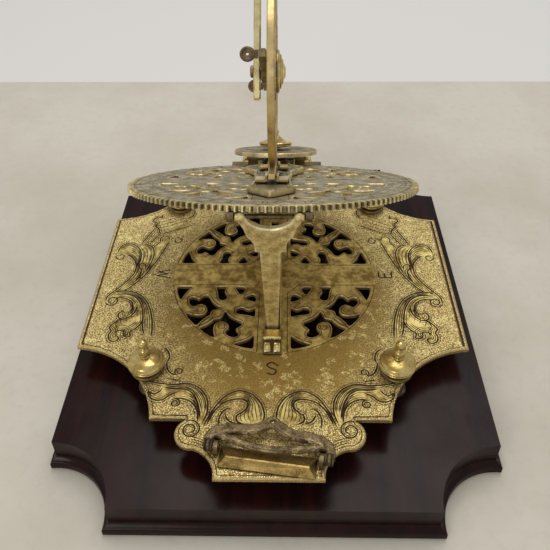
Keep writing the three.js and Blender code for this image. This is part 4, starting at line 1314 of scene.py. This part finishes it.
def spoke_lines():
    """Two lines along each of the four spokes."""
    lines = []
    for quarter in range(4):
        turn = np.array([[0, -1], [1, 0]]) if quarter % 2 else np.eye(2)
        sign = 1 if quarter < 2 else -1
        for side in (SPOKE_LINE_X, -SPOKE_LINE_X):
            ends = np.array([(side, SPOKE_LINE_START), (side, SPOKE_LINE_END)])
            ends = ends @ turn * sign + (0, CIRCLE_PIVOT)
            lines.append(groove(ends, 0.35, 0.15, 1))
    return lines


def declination_circle():
    """The upright circle, divided to two and a half degrees; its plane holds the polar axis."""
    field = Field((-52, 4), (52, 110), 0.3)
    metal = circle_metal(field)
    middle = {"cx": 0, "cy": CIRCLE_PIVOT}
    grooves = [ring_groove(radius, width, **middle) for radius, width in CIRCLE_LINES]
    grooves += [tick(46.6 if k % 4 else 44.6, 48.8, k * 2.5, **middle) for k in range(144)]
    grooves += spoke_lines()
    loops = field.loops(metal) + [hole(0, CIRCLE_PIVOT, PIVOT_BORE)]
    terraces = [(field.loops(metal, -0.45), 0.0)]
    slab = engraved_slab(loops, CIRCLE_THICK, grooves, terraces, edge=0.4, two_sided=True)
    upright = Matrix(((0, 0, 1, CIRCLE_THICK / 2), (1, 0, 0, 0), (0, 1, 0, 0), (0, 0, 0, 1)))
    slab_piece(
        "engraved_circle", RING @ upright, slab, "carriage", circle_brass,
        ["declination_circle"]
    )


# ---------- minute work ----------
DIAL_RADIUS, DIAL_TOP, DIAL_THICK = 26.5, 9.1, 2.6
MINUTE_KNOB_PROFILE = run(
    [(0, 10.6), (4.8, 10.6)],
    [(4.8, 10.6), (7.6, 11), (10.1, 11.6)],
    [(10.1, 11.6), (10.5, 12.1), (10.1, 12.6)],
    [(9.9, 12.7), (10.7, 13.3), (10.3, 13.9)],
    [(10, 14), (6.4, 15.2), (4.2, 16.5), (2.6, 18), (1.4, 18.9)],
    [(1.4, 19), (2.2, 20.1), (1.9, 21.4), (1.1, 22), (0, 22.1)],
)


DIAL_LINES = [(25.4, 0.4), (22.6, 0.3), (16.2, 0.3), (14.8, 0.4)]
PETAL = [(1.2, 6), (2.4, 9.5), (1.6, 12.6), (0, 14.2), (-1.6, 12.6), (-2.4, 9.5), (-1.2, 6)]


def minute_work():
    """The minute dial, numbered every five minutes round a rose of twelve petals, and its knob."""
    centre = RING @ Matrix.Translation((0, PINION_Y, 0))
    grooves = [ring_groove(radius, width) for radius, width in DIAL_LINES]
    for minute in range(60):
        grooves.append(tick(22.6 if minute % 5 else 21.4, 25.2, 6 * minute))
    for mark in range(12):
        angle = 90 - 30 * (mark + 1)
        x, y = arc(0, 0, 19.2, angle, angle, 0)[0]
        grooves += engraved_text(str(5 * (mark + 1)), x, y, 3.4, angle - 90, 0.36)
        c, s = math.cos(math.radians(angle)), math.sin(math.radians(angle))
        grooves.append(groove(smooth_curve(PETAL) @ np.array([[c, s], [-s, c]]), 0.35, 0.15, 1))
    loops = [hole(0, 0, DIAL_RADIUS, 160), hole(0, 0, ARBOR_BORE, 24)]
    terraces = [([arc(0, 0, DIAL_RADIUS - 0.4, 0, 360, 160)], 0.0)]
    slab = engraved_slab(loops, DIAL_THICK, grooves, terraces, edge=0.4, spacing=1.8)
    top = centre @ Matrix.Translation((0, 0, DIAL_TOP))
    slab_piece("engraved_minute_dial", top, slab, "carriage", aged_bronze, ["minute_dial"])
    turned_piece(
        "setting_knob", centre, MINUTE_KNOB_PROFILE, "minute_work", bright_brass, "brass_bright",
        ["minute_knob"],
    )


# ---------- strut ----------
STRUT_LENGTH, STRUT_THICK, STRUT_LEAN = 88.9, 3, math.radians(9.86)
STRUT = frame_at(
    Vector(joints["strut_fold"]["pos_m"]),
    Vector((1, 0, 0)),
    Vector((0, -math.sin(STRUT_LEAN), math.cos(STRUT_LEAN))),
    Vector((0, -math.cos(STRUT_LEAN), -math.sin(STRUT_LEAN))),
)
STRUT_FLARE = [(7.2, -20.4), (7.6, -17.6), (9.2, -14.3), (10.4, -12.6), (11.6, -7.9), (12.8, -5), (15.1, 0.4)]


STRUT_SILL = -STRUT_LENGTH + 65.4
KNUCKLE_PROFILE = run(
    [(1.3, -2.1), (1.9, -2.1)], [(2.2, -1.8), (2.2, 1.8)], [(1.9, 2.1), (1.3, 2.1)], [(1.3, 0), (1.3, -2.1)]
)


def strut():
    """The prop: a tapered blade with a step, two arms round an arch, and the knuckles at their ends."""
    side = [(3, -STRUT_LENGTH), (4.9, STRUT_SILL - 0.1), (7.2, STRUT_SILL)]
    arch = arc(0, 1.6, 10.4, -10, -170, 36) * (1, 0.82)
    right = np.vstack((side, smooth_curve(STRUT_FLARE, 0.7), [(15.2, 1.4), (11, 1.4)]))
    outline = np.vstack((right, arch, mirrored(right)[::-1]))
    bevel, = inset(outline, 0.7)
    slab = engraved_slab([outline], STRUT_THICK, [], [(bevel, 0.0)], edge=0.6, spacing=1.8, two_sided=True)
    face = STRUT @ Matrix.Translation((0, 0, STRUT_THICK / 2))
    slab_piece("bevelled_strut", face, slab, "strut", strut_brass, ["strut"])
    for name, sign in (("left", -1), ("right", 1)):
        across = STRUT @ Matrix.Translation((sign * 13.1, 0, 0)) @ Matrix.Rotation(math.pi / 2, 4, "Y")
        turned_piece(
            "strut_knuckle_" + name, across, KNUCKLE_PROFILE, "strut", strut_brass, "brass_plate",
            segments=32,
        )


# ---------- alidade ----------
near_low, near_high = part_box("sight_near")
far_low, far_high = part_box("sight_far")
SIGHTLINE = ((far_low + far_high) - (near_low + near_high)).normalized()
RING_X = Vector((1, 0, 0))
ALIDADE_PIVOT = Vector(joints["alidade_turn"]["pos_m"])
# The left faces look along -X, so flat pieces there are drawn on a frame turned over about the sight line.
ALIDADE_LEFT = frame_at(ALIDADE_PIVOT, SIGHTLINE, SIGHTLINE.cross(RING_X), -RING_X)
ROSETTE_PROFILE = run(
    [(2.2, 0), (11.3, 0)],
    [(11.3, 0.6), (10.9, 1.2), (10.2, 1.5)],
    [(9.7, 1.2), (9.2, 1.3), (8.7, 2.1), (8.2, 2.4)],
    [(7.6, 2.3), (6.9, 2.4), (6.5, 2.9), (5.6, 3.4)],
    [(5.1, 3.3), (4.2, 3.6), (3.6, 3.9), (2.9, 4.3), (2.2, 4.5)],
    [(2.2, 2), (2.2, 0)],
    steps=5,
)
PIVOT_PROFILE = run(
    [(0, -10.4), (0, -11.8)], [(2.2, -11.8), (2.9, -11.5), (3.2, -11)], [(3.2, -10.3), (1.9, -10.3)],
    [(1.9, 5.6), (1.5, 6)], [(0, 6), (0, 5)],
)
EYE_PROFILE = run(
    [(0.75, -0.7), (2.2, -0.6)],
    [(2.6, -0.9), (3.3, -0.85), (3.65, -0.4), (3.65, 0.4), (3.3, 0.85), (2.6, 0.9)],
    [(2.2, 0.6), (0.75, 0.7)],
    [(0.75, 0), (0.75, -0.7)],
    steps=5,
)


ARM_BORE, SIGHT_RADIUS, ROSETTE_X = 2.3, 3.65, 2.1
SIGHT_BAR_QUARTER = [(0, -5.2), (3, -5.1), (6, -4.9), (8, -4.2), (10, -2.7), (12, -2.4), (37, -2)]
INDEX_HALF = [
    (0.4, 15), (1.5, 14), (2.4, 10), (3.6, 5), (4.2, 0), (3.4, -6), (2.9, -20), (1.3, -46.6), (0.3, -48.6)
]
SIGHT_STEM = np.array([(3.4, -1.9), (4.9, -1.9), (4.9, 1.9), (3.4, 1.9)])


def flat_arm(name, outline, thick, outer_face, node, material, bevel):
    """A bevelled flat arm on the left face of the circle, its outer face at that place across the ring."""
    rim, line = inset(outline, bevel + 0.1, bevel + 0.7, cell=0.15)
    loops = [outline, hole(0, 0, ARM_BORE, 28)]
    grooves = [groove(loop, 0.25, 0.1) for loop in line]
    slab = engraved_slab(loops, thick, grooves, [(rim, 0.0)], edge=bevel, spacing=1.6, two_sided=True)
    place = ALIDADE_LEFT @ Matrix.Translation((0, 0, -outer_face))
    slab_piece(name, place, slab, "alidade", material, [node])


def alidade():
    """The sight bar, the index arm square to it, two pinhole sights, and the screw and cap at the pivot."""
    quarter = np.array(SIGHT_BAR_QUARTER)
    half = np.vstack((mirrored(quarter)[::-1], quarter[1:]))
    bar = np.vstack((half, (half * (1, -1))[::-1]))
    flat_arm("bevelled_sight_bar", bar, 3.6, -6, "sight_bar", brown_bronze, 0.5)
    index = np.array(INDEX_HALF)
    index = np.vstack((index, mirrored(index)[::-1]))
    flat_arm("bevelled_index_arm", index, 3.7, -10, "index_arm", bright_brass, 0.7)
    for end, low, high in (("near", near_low, near_high), ("far", far_low, far_high)):
        eye = Vector((low.x + SIGHT_RADIUS * MM, (low.y + high.y) / 2, (low.z + high.z) / 2))
        place = frame_at(eye, RING_X, SIGHTLINE.cross(RING_X), SIGHTLINE)
        sight = ("pinhole_sight_" + end, place, EYE_PROFILE, "alidade", brown_bronze, "brass_brown")
        turned_piece(*sight, ["sight_" + end], segments=64)
        points, faces = stacked_mesh([(SIGHT_STEM, z) for z in (-0.9, 0.9)])
        make_piece("sight_stem_" + end, place, points, faces, "alidade", brown_bronze)
    axle = frame_at(ALIDADE_PIVOT, RING_X.cross(SIGHTLINE), -SIGHTLINE, RING_X)
    screw = ("pivot_screw", axle, PIVOT_PROFILE, "alidade", circle_brass, "brass_bright")
    turned_piece(*screw, ["alidade_pivot"], segments=48)
    cap = axle @ Matrix.Translation((0, 0, ROSETTE_X))
    turned_piece(
        "rosette_cap", cap, ROSETTE_PROFILE, "alidade", bright_brass, "brass_bright", ["rosette_nut"],
    )


# ---------- plummet bracket on the south tab ----------
TAB_SKEW = math.radians(-7.4)
TAB = PLATE @ Matrix.Translation((-0.9, -117.6, 0)) @ Matrix.Rotation(TAB_SKEW, 4, "Z")
BRACKET_Y, BRACKET_Z = 4, 4.6
BOW_TOP, BOW_THICK, BOW_PEAK_Y = 6.6, 2.8, 18.4
BOW = [(26.4, 6.2), (24.8, 10), (18.5, 12.6), (9.5, 13.4), (4.4, 15.6), (0, 18.8)]
BRACKET_BAR = [(-26.4, 7), (-20, 8), (-10, 5.7), (0, 4.7), (10, 5.7), (20, 8), (26.4, 7)]


BARREL_PROFILE = run(
    [(1.3, -1.9), (2.5, -1.9)],
    [(2.5, -1.9), (2.9, -1.5), (2.5, -1.1)],
    [(2.4, -1.0), (2.9, -0.3), (2.9, 0.3), (2.4, 1.0)],
    [(2.5, 1.1), (2.9, 1.5), (2.5, 1.9)],
    [(2.5, 1.9), (1.3, 1.9)],
    [(1.3, 0), (1.3, -1.9)],
    steps=4,
)


def plummet_bracket():
    """The bow folded flat over the tab, with a hole for the plumb line at its peak."""
    field = Field((-31, 2), (31, 24), 0.25)
    bow = smooth_curve(BOW, 0.8)
    metal = np.minimum(field.stroke(bow, 2.8, 2.4), field.stroke(mirrored(bow), 2.8, 2.4))
    metal = smooth_min(metal, field.stroke(smooth_curve(BRACKET_BAR, 0.8), 1.5, 1.5), 0.8)
    metal = smooth_min(metal, field.circle(0, BOW_PEAK_Y, 2.8), 0.8)
    for x in (-23.2, 23.2):
        metal = np.maximum(metal, np.minimum(6.8 - field.y, 1.5 - abs(field.x - x)))
    metal = np.maximum(metal, -field.circle(0, BOW_PEAK_Y, 0.9))
    terraces = [(field.loops(metal, -inner), z) for inner, z in ((0.45, -0.35), (0.95, -0.1))]
    slab = engraved_slab(field.loops(metal), BOW_THICK, [], terraces, edge=0.9, spacing=1.2, two_sided=True)
    place = TAB @ Matrix.Translation((0, 0, BOW_TOP))
    slab_piece("cast_bow", place, slab, "bracket", brown_bronze, ["plummet_bracket"])
    for name, x in (("left", -26.5), ("right", 26.5)):
        place = TAB @ Matrix.Translation((x, BRACKET_Y, BRACKET_Z)) @ Matrix.Rotation(math.pi / 2, 4, "Y")
        barrel = ("bracket_barrel_" + name, place, BARREL_PROFILE, "bracket", brown_bronze, "brass_brown")
        turned_piece(*barrel, segments=40)


# ---------- catch in front of the strut's foot ----------
CATCH_HALF = 4.5
CATCH_SIDE = [
    (-56.6, 0.8), (-56.2, 1.2), (-49.6, 1.4), (-49.1, 1.7), (-48.7, 3.5), (-48.2, 3.8), (-47.6, 3.8),
    (-47.2, 3.4), (-47, 1.15), (-40.6, 1.15), (-40.4, 0.9),
]
REST_X, REST_HALF_X, REST_Y, REST_HALF_Y, REST_HEIGHT = 2.45, 1.9, -52.9, 3.1, 1.5
CATCH_BOTTOM = 0.3


def catch():
    """A raised bar, two pillow-shaped finger rests in front of it and a flat tongue towards the prop."""
    xs = np.linspace(-CATCH_HALF, CATCH_HALF, 61)
    side = np.array(CATCH_SIDE)
    ys = np.unique(np.concatenate((side[:, 0], np.arange(-56.4, -49.2, 0.16))))
    points, highlight_painted_on_tops, painted_shade = [], [], []
    for x in xs:
        across = np.clip(1 - ((abs(x) - REST_X) / REST_HALF_X) ** 2, 0, 1) ** 0.5
        along = np.clip(1 - ((ys - REST_Y) / REST_HALF_Y) ** 2, 0, 1) ** 0.5
        height = np.interp(ys, side[:, 0], side[:, 1])
        points += [(x, y, z) for y, z in zip(ys, height + REST_HEIGHT * across * along)]
        # painted highlight on the rests' tops and the bar's top, and painted shade on the low ground round
        # the rests
        highlight_painted_on_tops += list(np.maximum(across * along, height > 3))
        painted_shade += list(0.5 * ((ys < -49) & (across * along < 0.3)))
    n, top = len(ys), len(points)
    points += [(x, y, CATCH_BOTTOM) for x, y, _ in points]
    grid = [
        (i * n + j, (i + 1) * n + j, (i + 1) * n + j + 1, i * n + j + 1)
        for i in range(len(xs) - 1)
        for j in range(n - 1)
    ]
    faces = grid + [tuple(k + top for k in face[::-1]) for face in grid]
    last = (len(xs) - 1) * n
    rim = [*range(0, last + 1, n), *range(last + 1, last + n), *range(last - 1, 0, -n), *range(n - 2, 0, -1)]
    faces += [(b, a, a + top, b + top) for a, b in zip(rim, rim[1:] + rim[:1])]
    # the underside also gets painted shade through its cut value
    values = {"rim": highlight_painted_on_tops + [0.0] * top, "cut": painted_shade + [0.5] * top}
    make_piece(
        "scooped_catch", PLATE, points, faces, "catch", bright_brass, ["catch_slide"], 30,
        values
    )


# ---------- parts that keep the CAD shape ----------
KEPT = [
    # The strut's lugs and pin take the dark brown bronze as painted shade, so that they sink into the shadow
    # round the prop.
    (brown_bronze, [
        "hinge_block_left", "hinge_block_right", "bracket_lug_left", "bracket_lug_right", "bracket_pin_left",
        "bracket_pin_right", "strut_lug_left", "strut_lug_right", "strut_pin",
    ]),
    (aged_bronze, ["ring_tail", "carriage_stud", "stud_nut", "dial_bush"]),
    (bright_brass, [
        "hinge_pin", "minute_hand", "cleat_front_left", "cleat_front_right", "cleat_rear_left",
        "cleat_rear_right",
    ]),
    (tab_brass, ["tab_bar"]),
    (circle_brass, ["minute_pinion"]),
]
EASED_EDGE = 0.28


def kept_parts():
    """Dress the CAD nodes that stay, with small bevels on their edges."""
    for finish, nodes in KEPT:
        for node in nodes:
            obj = bpy.data.objects[node]
            obj.data.materials.clear()
            obj.data.materials.append(finish)
            weld = obj.modifiers.new("weld", "WELD")
            weld.merge_threshold = 0.01 * MM
            bevel = obj.modifiers.new("bevel", "BEVEL")
            bevel.width = EASED_EDGE * MM
            bevel.segments = 2
            bevel.limit_method = "ANGLE"
            bevel.angle_limit = math.radians(28)


# ---------- floor, light and camera ----------
def flat_sheet(name, size, height, material):
    """A level square that stages the object and is no part of it."""
    mesh = bpy.data.meshes.new(name)
    h = size / 2
    mesh.from_pydata([(-h, -h, height), (h, -h, height), (h, h, height), (-h, h, height)], [], [(0, 1, 2, 3)])
    mesh.materials.append(material)
    obj = bpy.data.objects.new(name, mesh)
    bpy.context.scene.collection.objects.link(obj)


def soft_light(name, place, target, size, power, colour):
    """A round area light that points at the target."""
    light = bpy.data.lights.new(name, "AREA")
    light.shape, light.size = "DISK", size
    light.energy, light.color = power, colour
    obj = bpy.data.objects.new(name, light)
    obj.location = place
    obj.rotation_euler = (Vector(target) - Vector(place)).to_track_quat("-Z", "Y").to_euler()
    bpy.context.scene.collection.objects.link(obj)


# The camera fitted to the photograph's perspective; the focal length and shift are shares of the width.
SENSOR_WIDTH = 36
CAMERA_PLACE = (0.00578, -0.27554, 0.29910)
CAMERA_YAW, CAMERA_PITCH, CAMERA_ROLL = (math.radians(a) for a in (-1.371, 37.84, -0.707))
CAMERA_FOCAL, CAMERA_SHIFT = 1.2177455, -0.1272727
TABLE_SIZE, ROOM_STRENGTH = 8, 0.56


def camera():
    """The camera that sees the dial as the photograph does."""
    data = bpy.data.cameras.new("camera")
    data.sensor_width = SENSOR_WIDTH
    data.lens = SENSOR_WIDTH * CAMERA_FOCAL
    data.shift_y = CAMERA_SHIFT
    data.clip_start = 0.01
    forward = Vector((
        math.sin(CAMERA_YAW) * math.cos(CAMERA_PITCH),
        math.cos(CAMERA_YAW) * math.cos(CAMERA_PITCH),
        -math.sin(CAMERA_PITCH),
    ))
    right = Vector((math.cos(CAMERA_YAW), -math.sin(CAMERA_YAW), 0))
    up = right.cross(forward)
    c, s = math.cos(CAMERA_ROLL), math.sin(CAMERA_ROLL)
    axes = Matrix((right * c + up * s, up * c - right * s, -forward)).transposed()
    obj = bpy.data.objects.new("camera", data)
    obj.matrix_world = Matrix.Translation(CAMERA_PLACE) @ axes.to_4x4()
    bpy.context.scene.collection.objects.link(obj)
    bpy.context.scene.camera = obj


def studio():
    """A pale table, an evenly lit room and two soft lights."""
    floor_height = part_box("plinth_moulding")[0].z
    flat_sheet("table_top", TABLE_SIZE, floor_height, table_finish())
    world = bpy.data.worlds.new("room")
    world.use_nodes = True
    background = world.node_tree.nodes["Background"]
    background.inputs["Color"].default_value = srgb(236, 238, 242)
    background.inputs["Strength"].default_value = ROOM_STRENGTH
    bpy.context.scene.world = world
    soft_light("ceiling", (0.1, 0.5, 1.5), (0, 0, 0), 1.3, 10, (1.0, 0.97, 0.92))
    soft_light("window", (-0.5, -1.0, 0.8), (0, 0, 0.05), 0.6, 3.4, (1.0, 0.98, 0.95))
    bpy.context.scene.view_settings.view_transform = "Standard"


base_plate()
plinth()
levelling_screws()
hour_ring()
carriage()
declination_circle()
minute_work()
strut()
alidade()
plummet_bracket()
catch()
kept_parts()
camera()
studio()
